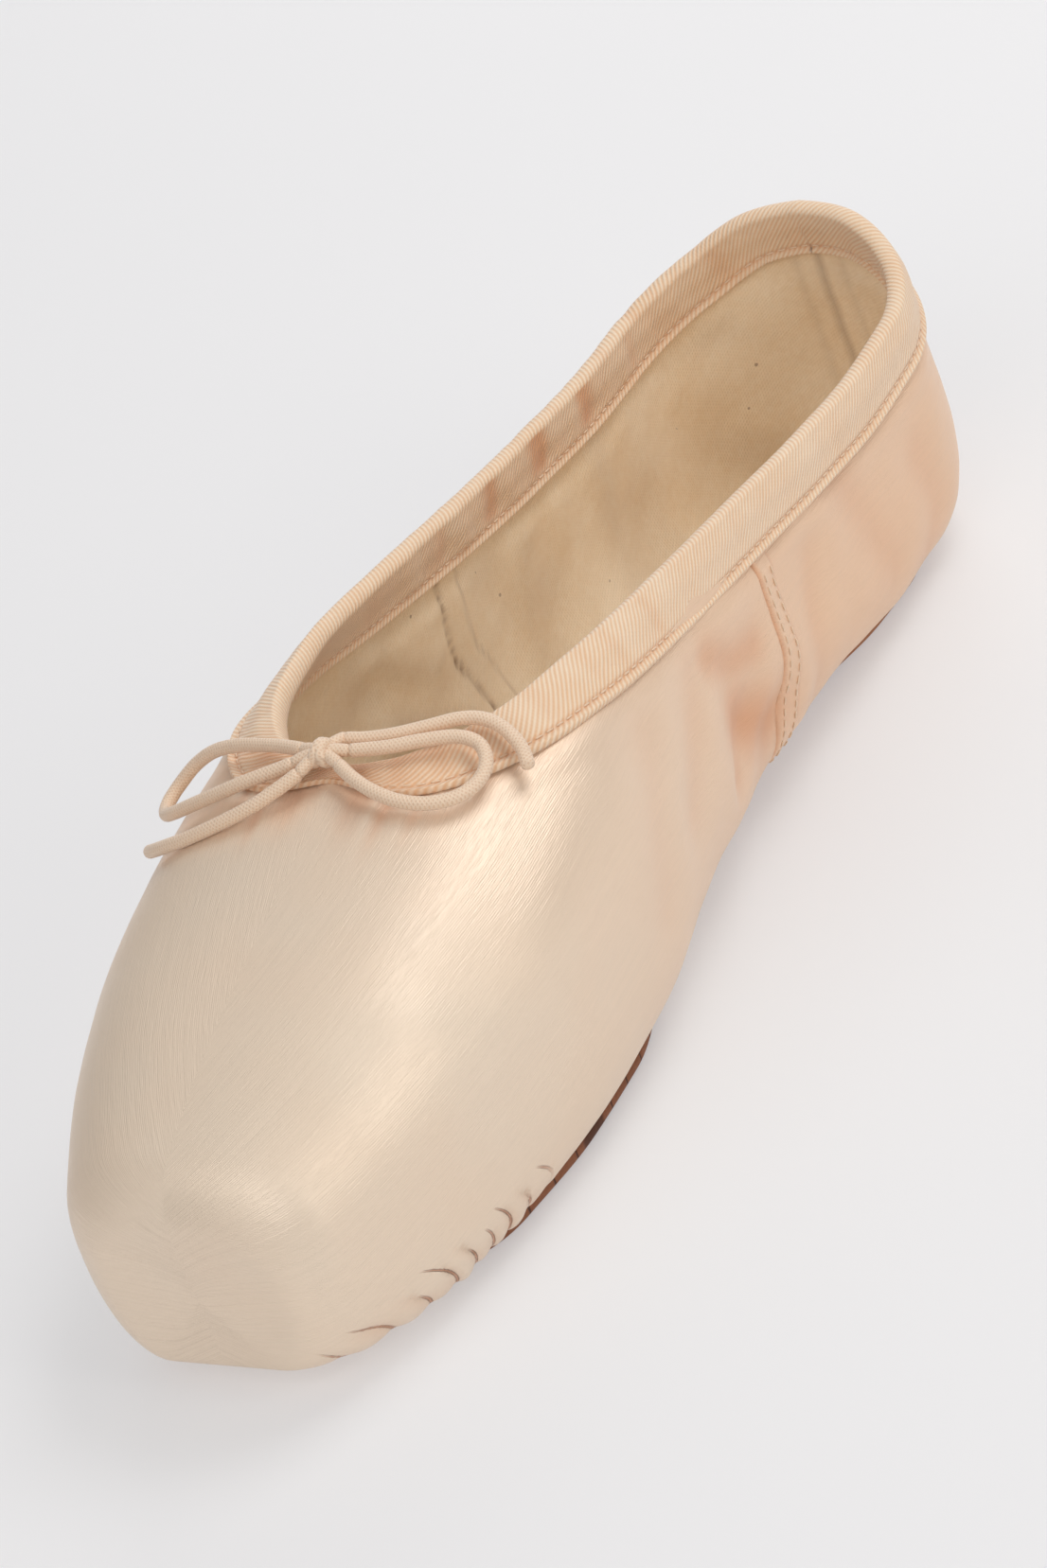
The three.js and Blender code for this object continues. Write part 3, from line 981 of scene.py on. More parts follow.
@dataclass(frozen=True)
class Satin:
    """Peach satin: long smooth warp floats, a broad sheen, and painted light: a paler toe, a warmer heel."""

    # pale and warm end a painted gradient: paler at the toe as a painted reflection, warmer at the heel as
    # painted bounced light
    pale: Color = srgb(236, 217, 195)
    warm: Color = srgb(238, 196, 160)
    # painted shade: in folds, seams, gathers and creases, and along the toe pleats' lines
    fold: Color = srgb(214, 138, 82)
    pleat_shade: Color = srgb(186, 108, 62)
    sheen: Color = srgb(255, 238, 222)
    thread: float = 0.34
    weave_depth: float = 0.05
    pleat_depth: float = 0.35
    roughness: float = 0.4
    pleats: Pleats = Pleats()

    def pleat_lines(self, wiring: Wiring, space: Socket) -> Socket:
        """The sharp edge of each toe pleat.

        It repeats the phase of Pleats, and measures the distance to the line in millimetres.

        Args:
            wiring: The satin's nodes.
            space: The place on the object.

        Returns:
            1 on the line between two folds, where shade is painted, 0 beside it.
        """
        fold = self.pleats
        parts = wiring.node("SeparateXYZ", {0: space})
        x, y, z = (wiring.times(parts.outputs[i], 1 / METRE) for i in range(3))
        ahead = wiring.minus(fold.centre, y)
        bearing = wiring.math("ARCTAN2", x, ahead)
        rise = wiring.math("MAXIMUM", wiring.minus(z, fold.bend_from), 0.0)
        hook = wiring.times(wiring.times(rise, rise), fold.bend)
        hook = wiring.times(hook, wiring.math("SIGN", x))
        slow = wiring.math("SINE", wiring.times(bearing, fold.wave_pace))
        phase = wiring.scaled(bearing, fold.per_turn / (2 * math.pi), fold.first)
        phase = wiring.plus(wiring.plus(phase, hook), wiring.times(slow, fold.wave))
        number = wiring.math("ROUND", phase)
        offset = wiring.math("ABSOLUTE", wiring.minus(phase, number))
        reach = wiring.math("SQRT", wiring.scaled(x, x, wiring.times(ahead, ahead)))
        offset = wiring.times(wiring.times(offset, reach), 2 * math.pi / fold.per_turn)
        turned = wiring.math("SINE", wiring.times(number, fold.shuffle))
        chance = wiring.scaled(turned, 0.5, 0.5)
        top = wiring.scaled(chance, fold.top_range, fold.lowest_top)
        shown = wiring.ramp(wiring.minus(z, top), 0.0, -2.0)
        shown = wiring.times(shown, wiring.ramp(y, -119.0, -116.5))
        shown = wiring.times(shown, wiring.ramp(y, -72.0, -78.0))
        return wiring.times(shown, wiring.ramp(offset, fold.line, fold.line * 0.25))

    def material(self) -> Material:
        """Colours by random patches and painted light from toe to heel, paints shade into folds and pleat
        lines, adds streaks along the warp, and fine ribs and pleats as bump.

        Returns:
            The material.
        """
        wiring = Wiring("satin")
        space = wiring.space()
        pleats = self.pleat_lines(wiring, space)
        across, along = wiring.cloth()
        # painted light from toe to heel: a paler painted reflection at the toe, warmer painted bounced light
        # at the heel
        painted_light_toe_to_heel = wiring.ramp(wiring.node("SeparateXYZ", {0: space}).outputs[1], -0.09, 0.06)
        patches = wiring.noise(space, 38.0)
        share = wiring.scaled(patches, 0.35, wiring.times(painted_light_toe_to_heel, 0.75))
        color = wiring.mix(wiring.minus(share, 0.12), self.pale, self.warm)
        # painted shade in folds, seams, gathers and creases, then along the pleat lines
        color = wiring.mix(wiring.times(wiring.shade(), 0.8), color, self.fold)
        color = wiring.mix(wiring.times(pleats, 0.66), color, self.pleat_shade)
        lanes = wiring.node("CombineXYZ", {0: across, 1: along})
        streaks = wiring.noise(lanes.outputs[0], 1.0, 3.0, stretch=(2.2, 0.035, 1.0))
        tint = wiring.scaled(streaks, 0.09, 0.955)
        scaled = wiring.node("VectorMath", {0: color, "Scale": tint}, operation="SCALE").outputs[0]
        weave = wiring.wave(across, self.thread)
        slub = wiring.noise(lanes.outputs[0], 1.0, 2.0, stretch=(2.6, 0.25, 1.0))
        relief = wiring.scaled(slub, 1.6, wiring.times(weave, 0.35))
        woven = wiring.bump(relief, self.weave_depth)
        normal = wiring.bump(wiring.minus(1.0, pleats), self.pleat_depth, woven)
        rough = wiring.scaled(streaks, 0.12, self.roughness - 0.06)
        return wiring.finish(
            scaled, normal, Metallic=0.2, Roughness=rough, Specular_IOR_Level=0.65,
            Sheen_Weight=0.25, Sheen_Roughness=0.3, Sheen_Tint=self.sheen,
        )


@dataclass(frozen=True)
class Twill:
    """Peach twill tape: slanting ribs with short thread floats, matt."""

    light: Color = srgb(243, 221, 194)
    dark: Color = srgb(229, 186, 145)
    # painted shade in the gathers' hollows, the notch under the knot and the sewn line
    hollow_shade: Color = srgb(212, 140, 84)
    rib: float = 0.72
    float_length: float = 0.6
    depth: float = 0.09

    def material(self) -> Material:
        """Lays ribs at 45 degrees to the tape and cuts them into floats.

        Returns:
            The material.
        """
        wiring = Wiring("twill tape")
        across, along = wiring.cloth()
        slant = wiring.plus(across, along)
        ribs = wiring.wave(slant, self.rib * 1.414)
        cut = wiring.minus(along, wiring.times(across, 0.35))
        floats = wiring.wave(cut, self.float_length)
        relief = wiring.scaled(floats, 0.3, ribs)
        patches = wiring.noise(wiring.space(), 120.0, 3.0)
        # the ribs' grooves are painted darker as shade; the patches vary the tone at random
        share = wiring.scaled(ribs, 0.6, wiring.times(patches, 0.45))
        color = wiring.mix(wiring.ramp(share, 0.05, 0.95), self.dark, self.light)
        # painted shade by the shade attribute
        color = wiring.mix(wiring.times(wiring.shade(), 0.7), color, self.hollow_shade)
        normal = wiring.bump(relief, self.depth)
        return wiring.finish(color, normal, Roughness=0.7, Sheen_Weight=0.3, Sheen_Roughness=0.5)


@dataclass(frozen=True)
class Drill:
    """Cream cotton drill with stray dark flecks of husk, matt."""

    name: str = "lining drill"
    light: Color = srgb(246, 228, 200)
    dark: Color = srgb(229, 200, 160)
    # the seam lines, partly their dark stitching and partly painted shade in their grooves, and painted shade
    # in wrinkle hollows
    seam_and_hollow_shade: Color = srgb(112, 72, 42)
    husk: Color = srgb(120, 84, 52)
    thread: float = 0.5
    depth: float = 0.06
    flecks: bool = True
    flecks_per_metre: float = 260.0
    fleck_radius: float = 0.085

    def material(self) -> Material:
        """Crosses two sets of threads, with soft stains, painted shade and sparse flecks.

        Returns:
            The material.
        """
        wiring = Wiring(self.name)
        space = wiring.space()
        across, along = wiring.cloth()
        slant = wiring.plus(across, wiring.times(along, 0.6))
        warp = wiring.wave(slant, self.thread * 1.3)
        weft = wiring.wave(along, self.thread)
        relief = wiring.scaled(weft, 0.45, wiring.times(warp, 0.6))
        stains = wiring.noise(space, 42.0, 4.0)
        fine = wiring.noise(space, 900.0, 2.0)
        share = wiring.scaled(fine, 0.3, wiring.times(stains, 0.9))
        color = wiring.mix(wiring.ramp(share, 0.25, 0.9), self.dark, self.light)
        # painted shade in seam grooves and wrinkle hollows
        color = wiring.mix(wiring.times(wiring.shade(), 0.75), color, self.seam_and_hollow_shade)
        if self.flecks:
            scatter = {"Vector": space, "Scale": self.flecks_per_metre, "Randomness": 1.0}
            cells = wiring.node("TexVoronoi", scatter)
            near = wiring.math("LESS_THAN", cells.outputs["Distance"], self.fleck_radius)
            chosen = wiring.math("GREATER_THAN", wiring.noise(space, 300.0, 0.0), 0.66)
            spot = wiring.times(wiring.times(near, chosen), 0.6)
            color = wiring.mix(spot, color, self.husk)
        normal = wiring.bump(relief, self.depth)
        return wiring.finish(color, normal, Roughness=0.85, Sheen_Weight=0.15, Sheen_Roughness=0.6)


@dataclass(frozen=True)
class SoleLeather:
    """Brown split leather: darker forefoot, scored with two sets of arcs against slipping."""

    plain: Color = srgb(166, 110, 74)
    forefoot: Color = srgb(128, 76, 50)
    # the scoring's own colour, also painted as shade along the channel
    score_and_channel_shade: Color = srgb(78, 44, 28)
    stain: Color = srgb(112, 68, 46)
    arc_gap: float = 5.6
    # half width of an arc's line, as a share of the gap
    arc_width: float = 0.04
    arc_depth: float = 0.22
    grain_depth: float = 0.05
    # the scoring sets in between these two places, in millimetres
    scored_from: float = -22.0
    scored_to: float = -34.0
    # centres of the two sets of arcs, in millimetres
    centres: tuple[tuple[float, float], ...] = ((-45.0, -62.0), (41.0, -98.0))

    def arcs(self, wiring: Wiring, x: Socket, y: Socket, centre: tuple[float, float]) -> Socket:
        """Thin arcs round a centre: where the distance, in gaps, is a whole number and a half.

        Args:
            wiring: The leather's nodes.
            x: Place across the sole, in millimetres.
            y: Place along it.
            centre: The arcs' common centre.

        Returns:
            1 on the lines, 0 beside them.
        """
        dx = wiring.minus(x, centre[0])
        dy = wiring.minus(y, centre[1])
        square = wiring.scaled(dx, dx, wiring.times(dy, dy))
        rings = wiring.math("DIVIDE", wiring.math("SQRT", square), self.arc_gap)
        offset = wiring.math("ABSOLUTE", wiring.minus(wiring.math("FRACT", rings), 0.5))
        return wiring.ramp(offset, self.arc_width, self.arc_width * 0.35)

    def material(self) -> Material:
        """Colours the leather by place, and cuts the scoring into the forefoot.

        Returns:
            The material.
        """
        wiring = Wiring("sole leather")
        space = wiring.space()
        parts = wiring.node("SeparateXYZ", {0: space})
        wobble = wiring.times(wiring.noise(space, 60.0), 2.0)
        x = wiring.scaled(parts.outputs[0], 1 / METRE, wobble)
        y = wiring.times(parts.outputs[1], 1 / METRE)
        lines = wiring.math("MAXIMUM", *(self.arcs(wiring, x, y, centre) for centre in self.centres))
        front = wiring.ramp(y, self.scored_from, self.scored_to)
        cuts = wiring.times(lines, front)
        stains = wiring.noise(space, 55.0, 5.0)
        fine = wiring.noise(space, 1400.0, 3.0)
        base = wiring.mix(wiring.times(front, 0.75), self.plain, self.forefoot)
        dirt = wiring.times(wiring.ramp(stains, 0.4, 0.85), 0.5)
        dirty = wiring.mix(dirt, base, self.stain)
        mottled = wiring.mix(wiring.times(wiring.ramp(fine, 0.4, 0.7), 0.3), dirty, self.plain)
        color = wiring.mix(wiring.times(cuts, 0.85), mottled, self.score_and_channel_shade)
        # painted shade along the channel groove
        color = wiring.mix(wiring.times(wiring.shade(), 0.8), color, self.score_and_channel_shade)
        grain = wiring.bump(fine, self.grain_depth)
        normal = wiring.bump(wiring.minus(1.0, cuts), self.arc_depth, grain)
        rough = wiring.scaled(stains, 0.25, 0.48)
        return wiring.finish(color, normal, Roughness=rough, Specular_IOR_Level=0.4)


@dataclass(frozen=True)
class Braid:
    """Peach braided cotton: two sets of strands that cross round the cord."""

    name: str = "drawstring"
    light: Color = srgb(239, 214, 188)
    dark: Color = srgb(224, 188, 156)
    strand: float = 0.62
    lean: float = 0.65
    depth: float = 0.07

    def material(self) -> Material:
        """Winds strands both ways; the higher of the two shows.

        Returns:
            The material.
        """
        wiring = Wiring(self.name)
        around, along = wiring.cloth()
        left = wiring.wave(wiring.plus(along, wiring.times(around, self.lean)), self.strand)
        against = wiring.minus(along, wiring.times(around, self.lean))
        right = wiring.wave(against, self.strand)
        relief = wiring.math("MAXIMUM", left, wiring.times(right, 0.9))
        fuzz = wiring.noise(wiring.space(), 2600.0, 2.0)
        # the gaps between strands are painted darker as shade
        share = wiring.scaled(fuzz, 0.4, wiring.times(relief, 0.7))
        color = wiring.mix(wiring.ramp(share, 0.1, 0.95), self.dark, self.light)
        height = wiring.scaled(fuzz, 0.25, relief)
        normal = wiring.bump(height, self.depth)
        return wiring.finish(color, normal, Roughness=0.55, Sheen_Weight=0.35, Sheen_Roughness=0.45)


@dataclass(frozen=True)
class Thread:
    """Fine peach sewing thread."""

    tone: Color = srgb(232, 205, 176)

    def material(self) -> Material:
        """One plain tone with a soft sheen."""
        wiring = Wiring("sewing thread")
        return wiring.finish(self.tone, None, Roughness=0.6, Sheen_Weight=0.3)


@dataclass(frozen=True)
class Brass:
    """Dull tack heads."""

    tone: Color = srgb(96, 66, 44)
    tarnished: Color = srgb(58, 40, 28)

    def material(self) -> Material:
        """Tarnishes the brass by a fine noise.

        Returns:
            The material.
        """
        wiring = Wiring("tack head")
        tarnish = wiring.noise(wiring.space(), 1500.0, 3.0)
        color = wiring.mix(tarnish, self.tone, self.tarnished)
        return wiring.finish(color, wiring.bump(tarnish, 0.05), Metallic=0.8, Roughness=0.5)


# ---- studio ----


@dataclass(frozen=True)
class Lamp:
    """A soft box: where it stands, how large it is and how strong, aimed at the shoe."""

    name: str
    place: Triple
    size: float
    watts: float
    tone: Triple = (1.0, 1.0, 1.0)


@dataclass(frozen=True)
class Studio:
    """Camera, lights and floor. Places are metres in the camera's own right, up and back."""

    azimuth: float = 38.9
    elevation: float = 31.4
    roll: float = -21.2
    distance: float = 0.978
    lens: float = 143.3
    aim: Triple = (0.0, -0.001, 0.025)
    nudge: tuple[float, float] = (-0.0033, -0.0020)
    lamps: tuple[Lamp, ...] = (
        Lamp("key", (0.2, 1.12, 0.42), 0.58, 4.9, (1.0, 0.995, 0.99)),
        Lamp("front", (-0.4, 0.1, 1.4), 0.8, 3.9, (1.0, 0.985, 0.97)),
        Lamp("side", (0.7, 0.35, 1.05), 0.6, 3.6, (1.0, 0.95, 0.895)),
        Lamp("fill", (-1.0, -0.1, 0.95), 0.9, 2.2, (1.0, 0.985, 0.965)),
        Lamp("rim", (0.0, 0.9, -0.6), 0.7, 3.0, (1.0, 0.99, 0.98)),
    )
    # the room's strength rises between two heights, each the share of straight up
    room_heights: tuple[float, float] = (0.15, 0.85)
    room_strengths: tuple[float, float] = (0.14, 0.42)
    room_tone: Color = (0.97, 0.97, 0.985, 1.0)
    backdrop: float = 0.8
    floor_reach: float = 4.0
    floor_level: float = -0.0002
    floor_tones: tuple[Color, Color] = (srgb(181, 180, 180), srgb(186, 185, 185))
    floor_glow: float = 0.37
    glow_tone: Color = (0.97, 0.975, 1.0, 1.0)

    def axes(self) -> tuple[Array, Array, Array]:
        """Turns the three camera angles into directions in the shoe's frame.

        Returns:
            The camera's right, up and back.
        """
        a, e, r = np.radians([self.azimuth, self.elevation, self.roll])
        back = np.array([np.sin(a) * np.cos(e), -np.cos(a) * np.cos(e), np.sin(e)])
        level = np.array([np.cos(a), np.sin(a), 0.0])
        rise = np.cross(back, level)
        return level * np.cos(r) + rise * np.sin(r), rise * np.cos(r) - level * np.sin(r), back

    def turned(self, right: Array, up: Array, back: Array, place: Array) -> Matrix:
        """Sets up something that stands at a place and looks against back.

        Args:
            right: Its own right.
            up: Its own up.
            back: Its own back.
            place: Where it stands.

        Returns:
            Its matrix.
        """
        whole = np.eye(4)
        whole[:3, 0], whole[:3, 1], whole[:3, 2], whole[:3, 3] = right, up, back, place
        return Matrix(whole.tolist())

    def camera(self) -> None:
        """Sets the camera on the shoe."""
        right, up, back = self.axes()
        data = bpy.data.cameras.new("camera")
        data.lens = self.lens
        camera = bpy.data.objects.new("camera", data)
        bpy.context.collection.objects.link(camera)
        aim = np.array(self.aim) + right * self.nudge[0] + up * self.nudge[1]
        camera.matrix_world = self.turned(right, up, back, aim + back * self.distance)
        bpy.context.scene.camera = camera

    def lights(self) -> None:
        """Hangs the soft boxes and sets the room's own light."""
        right, up, back = self.axes()
        for lamp in self.lamps:
            data = bpy.data.lights.new(lamp.name, "AREA")
            data.size = lamp.size
            data.energy = lamp.watts
            data.color = lamp.tone
            light = bpy.data.objects.new(lamp.name, data)
            bpy.context.collection.objects.link(light)
            place = right * lamp.place[0] + up * lamp.place[1] + back * lamp.place[2]
            facing = unit(place)
            aside = unit(np.cross(up, facing))
            light.matrix_world = self.turned(aside, np.cross(facing, aside), facing, place)
        self.room()

    def room(self) -> None:
        """The room's light: bright overhead, dim near the horizon, and a plain pale backdrop."""
        world = bpy.data.worlds.new("room")
        world.use_nodes = True
        tree = world.node_tree
        sky = tree.nodes["Background"]
        sky.inputs["Color"].default_value = self.room_tone
        parts = add_node(tree, "SeparateXYZ", {0: add_node(tree, "TexCoord").outputs["Generated"]})
        inputs = dict(zip(("From Min", "From Max"), self.room_heights))
        inputs |= dict(zip(("To Min", "To Max"), self.room_strengths))
        rise = add_node(tree, "MapRange", inputs | {"Value": parts.outputs[2]})
        seen = add_node(tree, "LightPath").outputs["Is Camera Ray"]
        strength = add_node(tree, "Mix", {0: seen, 2: rise.outputs[0], 3: self.backdrop})
        tree.links.new(strength.outputs[0], sky.inputs["Strength"])
        bpy.context.scene.world = world
        bpy.context.scene.view_settings.view_transform = "Standard"

    def floor(self) -> None:
        """Lays the pale floor, a hair under the sole."""
        mesh = bpy.data.meshes.new("floor")
        reach, level = self.floor_reach, self.floor_level
        signs = ((-1, -1), (1, -1), (1, 1), (-1, 1))
        corners = [(across * reach, along * reach, level) for across, along in signs]
        mesh.from_pydata(corners, [], [(0, 1, 2, 3)])
        wiring = Wiring("floor")
        tone = wiring.noise(wiring.space(), 3.0)
        color = wiring.mix(tone, *self.floor_tones)
        paper = wiring.finish(
            color, None, Roughness=0.7, Emission_Strength=self.floor_glow, Emission_Color=self.glow_tone
        )
        mesh.materials.append(paper)
        floor = bpy.data.objects.new("floor", mesh)
        bpy.context.collection.objects.link(floor)


# ---- bow ----


@dataclass(frozen=True)
class BowStrand:
    """One free strand of the drawstring: its route from the knot, and what is at its far end."""

    name: str
    far_end: str
    route: tuple[Triple, ...]


@dataclass(frozen=True)
class Bow:
    """The drawstring's bow at the throat: a knot, two loops and two ends."""

    diameter: float = 2.2
    # radius of the cord in the knot, and length of the strands' round ends, in diameters
    tight: float = 0.46
    round_end: float = 0.35
    knot: Triple = (-1.2, -47.4, 63.6)
    # of each wrap of the knot: place across, half depth, half height, lean
    wraps: tuple[tuple[float, ...], ...] = ((-0.55, 1.55, 1.25, 0.5), (0.75, 1.45, 1.2, -0.4))
    strands: tuple[BowStrand, ...] = (
        BowStrand("bow_loop_left", "knot", (
            (-4.9, -46.3, 63.2), (-9, -45.2, 62.8), (-14, -44, 62.1), (-20, -42.8, 61),
            (-25.5, -42, 59.2), (-30, -42, 56.6), (-33.3, -43.6, 53.8), (-34.4, -46.4, 52.4),
            (-33.2, -49.2, 52.4), (-29.8, -51, 54.2), (-25, -51.8, 56.5), (-19.5, -52, 58.8),
            (-14, -51.5, 60.8), (-9, -50.2, 62), (-5.2, -49, 62.9),
        )),
        BowStrand("bow_loop_right", "knot", (
            (2.3, -49.1, 63), (5.6, -51.2, 62.2), (9.5, -52.9, 61.2), (14, -53.7, 60),
            (18.5, -53, 59), (22.2, -50.6, 58.4), (24.2, -47, 58.5), (24.4, -43.6, 59.6),
            (22.4, -41.1, 61.1), (18.8, -40.9, 62.2), (14, -42.8, 62.8), (9, -45, 63.1),
            (2.9, -46.6, 63.4),
        )),
        BowStrand("bow_tail_left", "bare", (
            (-3.4, -50.9, 62.6), (-6.5, -53.4, 61.3), (-10, -55.6, 59.9), (-14.5, -57.2, 58.3),
            (-19, -58.2, 56.7), (-23.5, -58.6, 55), (-27.5, -58.2, 53.4), (-31, -57, 51.6),
            (-33.8, -55.4, 49.9),
        )),
        BowStrand("bow_tail_right", "bare", (
            (0.6, -43.6, 63.4), (4.6, -43, 63.1), (9, -41.6, 63), (13.5, -39.4, 62.9),
            (17.5, -37.2, 62.7), (21, -36.2, 62), (24.5, -36.8, 60.6), (27.6, -38.6, 58.6),
            (29.6, -41.2, 56.8),
        )),
    )

    def strand(self, strand: BowStrand, knot: Piece, cord: Material) -> None:
        """Its radius falls to zero at both ends as a quarter circle.

        Args:
            strand: Its route and its far end.
            knot: The knot's piece. Not used.
            cord: The cord's finish.
        """
        path = curve_through(np.array(strand.route, dtype=float), 10)
        reach = lengths_along(path)
        length = float(reach[-1])
        end = np.minimum(reach, length - reach)
        share = np.clip(end / (self.diameter * self.round_end), 0.0, 1.0)
        radius = self.diameter / 2 * np.sqrt(1 - (1 - share) ** 2)
        maker = MeshMaker(strand.name + "_cord")
        tube(maker, path, radius, 16)
        made = maker.finish(cord)
        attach(made, BODY)
        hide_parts(strand.name)

    def tied(self, cord: Material) -> Piece:
        """Ties the knot: two turns wrapped over the strands that run through it.

        Args:
            cord: The cord's finish.

        Returns:
            The piece.
        """
        centre = np.array(self.knot)
        maker = MeshMaker("bow_knot_cord")
        turn = np.linspace(0.0, 2 * math.pi, 33)[:-1]
        thick = self.diameter * self.tight
        for x, wide, high, lean in self.wraps:
            ring = np.stack([x + lean * np.sin(turn), wide * np.cos(turn), high * np.sin(turn)], axis=-1)
            tube(maker, centre + ring, np.full(len(turn), thick), 14, closed=True)
        for strand in self.strands:
            starts = [strand.route[0]]
            if strand.far_end == "knot":
                starts.append(strand.route[-1])
            for start in starts:
                outer = np.array(start)
                inner = centre + (outer - centre) * 0.1
                bend = (outer + inner) / 2 + np.array([0.0, 0.0, 0.3])
                path = curve_through(np.stack([inner, bend, outer + (outer - inner) * 0.22]), 6)
                share = np.linspace(-1.0, 1.0, len(path))
                tube(maker, path, thick * np.sqrt(np.maximum(1 - share**8, 0.0)), 14)
        made = maker.finish(cord)
        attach(made, BODY)
        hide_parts("bow_knot")
        return made

    def build(self, cord: Material) -> None:
        """Makes the knot, the loops and the ends."""
        knot = self.tied(cord)
        for strand in self.strands:
            self.strand(strand, knot, cord)


# ---- upper ----


@dataclass(frozen=True)
class Crease:
    """A soft trough in the satin through three places, each a station and an angle."""

    side: Side
    places: tuple[tuple[float, float], ...]
    depth: float
    width: float
    # how strongly shade is painted along the trough
    tint: float = 0.15


@dataclass(frozen=True)
class Layout:
    """How finely a skin is cut: stations, rings on the platform and columns in each part."""

    stations: Array
    platform_rings: int
    flat: int
    corner: int
    quarter: int


@dataclass(frozen=True)
class Upper:
    """The upper: a satin skin, a cotton lining, their seams, pleats and creases."""

    last: Last
    flange_back: float = 9.0
    satin_thick: float = 0.7
    lining_thick: float = 0.5
    opening_round: float = 14.0
    groove_width: float = 0.42
    groove_depth: float = 0.5
    fold_width: float = 4.9
    fold_rise: float = 0.26
    gather_pitch: float = 4.4
    gather_depth: float = 0.42
    unevenness: float = 0.34
    lining_slack: float = 0.44
    lining_wrinkle: float = 0.13
    # the lining hangs slack between these depths below the rim, and lower down
    slack_below: tuple[float, float] = (9.5, 14.0)
    pleats: Pleats = Pleats()
    # station of the side seam, by angle
    seam_rows: tuple[tuple[float, float], ...] = (
        (-140, 145), (-50, 145.6), (-23, 146.2), (-10, 148), (3, 148.8), (15, 150.2), (45, 151.5),
    )
    creases: tuple[Crease, ...] = (
        Crease(Side.RIGHT, ((131, -4), (136, -14), (142, -25)), 1.9, 6.8, 0.78),
        Crease(Side.RIGHT, ((128, 13), (134, 7), (141, 5)), 1.0, 4.4, 0.5),
        Crease(Side.RIGHT, ((137, -4), (132, -10), (126, -24)), 0.9, 3.2, 0.4),
        Crease(Side.RIGHT, ((122, 16), (114, 4), (106, -8)), 0.6, 4.2),
        Crease(Side.RIGHT, ((103, 20), (94, 4), (88, -14)), 0.45, 5.0, 0.1),
        Crease(Side.RIGHT, ((166, 6), (161, -10), (160, -34)), 0.55, 3.6, 0.15),
        Crease(Side.RIGHT, ((180, 14), (186, 0), (190, -22)), 0.5, 5.0, 0.2),
        Crease(Side.RIGHT, ((206, 2), (208, -20), (204, -44)), 0.35, 4.6, 0.2),
        Crease(Side.RIGHT, ((80, 50), (62, 40), (44, 34)), 0.35, 5.5, 0.0),
        Crease(Side.LEFT, ((125, -6), (132, -16), (138, -25)), 1.6, 5.2, 0.5),
        Crease(Side.LEFT, ((126, 14), (132, 6), (138, 2)), 0.9, 3.8, 0.2),
        Crease(Side.LEFT, ((120, 18), (112, 4), (104, -8)), 0.6, 4.2),
        Crease(Side.LEFT, ((100, 24), (92, 10), (86, -10)), 0.4, 5.0, 0.1),
        Crease(Side.LEFT, ((168, 8), (163, -8), (161, -30)), 0.6, 3.6, 0.2),
        Crease(Side.LEFT, ((194, 8), (192, -12), (190, -36)), 0.4, 4.6, 0.2),
        Crease(Side.LEFT, ((70, 48), (58, 30), (50, 10)), 0.3, 5.5, 0.0),
    )

    def opening_half(self, s: Array) -> Array:
        """Half width of the opening underneath, which widens in a round from its front.

        Args:
            s: Stations.

        Returns:
            Half widths, zero before the opening.
        """
        widening = 1 - np.maximum(1 - (s - self.last.opening_start) / self.opening_round, 0.0) ** 2
        below_sole = Outsole(self.last).half_width(s) - 8.0
        half = np.minimum(below_sole, self.last.section(s).flat - self.flange_back + 2)
        return np.maximum(half, 0.0) * np.sqrt(np.clip(widening, 0.0, 1.0))

    def angles(self, layout: Layout) -> Array:
        """The angle of every column at every station, from the underside up to the rim.

        Args:
            layout: How finely the skin is cut.

        Returns:
            Degrees, (stations, columns).
        """
        s = layout.stations
        open_below = s > self.last.opening_start
        reach = np.where(open_below, 90 * self.opening_half(s) / self.last.section(s).flat, 0.0)
        start = (-180 + reach)[:, None]
        below = start + (-90 - start) * np.linspace(0.0, 1.0, layout.flat, endpoint=False)
        corner = np.broadcast_to(
            np.linspace(-90.0, 0.0, layout.corner, endpoint=False), (len(s), layout.corner)
        )
        above = self.last.rim_angle(s)[:, None] * np.linspace(0.0, 1.0, layout.quarter + 1)
        return np.hstack([below, corner, above])

    def skin(self, layout: Layout, side: Side, depth: Array | float) -> Array:
        """Points of one side's skin, the platform's rings first.

        The rings shrink the first section towards the platform's middle.

        Args:
            layout: How finely the skin is cut.
            side: Right or left.
            depth: How far inside the last it lies, all over or by station.

        Returns:
            Points, (rings and stations, columns, 3).
        """
        s = layout.stations[:, None]
        angles = self.angles(layout)
        spread = np.broadcast_to(depth, s.shape) if np.ndim(depth) else depth
        body = self.last.surface(s, angles, side, spread)
        first = body[0]
        middle = np.array([0.0, first[0, 1], (first[0, 2] + first[-1, 2]) / 2])
        share = np.linspace(0.0, 1.0, layout.platform_rings, endpoint=False)[:, None, None]
        return np.concatenate([middle + (first - middle) * share, body])

    def cloth(self, points: Array, layout: Layout, side: Side) -> Array:
        """Cloth places: the length round the section from the widest line, and the station.

        Args:
            points: The skin's points.
            layout: How finely it is cut.
            side: Right or left.

        Returns:
            Places, (rings and stations, columns, 2).
        """
        step = np.linalg.norm(np.diff(points, axis=1), axis=-1)
        reach = np.concatenate([np.zeros((len(points), 1)), np.cumsum(step, axis=1)], axis=1)
        middle = layout.flat + layout.corner
        across = (reach - reach[:, middle : middle + 1]) * side.value
        s = np.concatenate([np.zeros(layout.platform_rings), layout.stations])
        return np.stack(np.broadcast_arrays(across, s[:, None]), axis=-1)

    def seam_station(self, angle: Array, side: Side) -> Array:
        """The station of the side seam at each angle; on the left its top leans forwards."""
        lean = 6.0 * smoothstep(-30.0, 12.0, angle) if side is Side.LEFT else 0.0
        return Column.through(list(self.seam_rows), 1)(angle) - lean

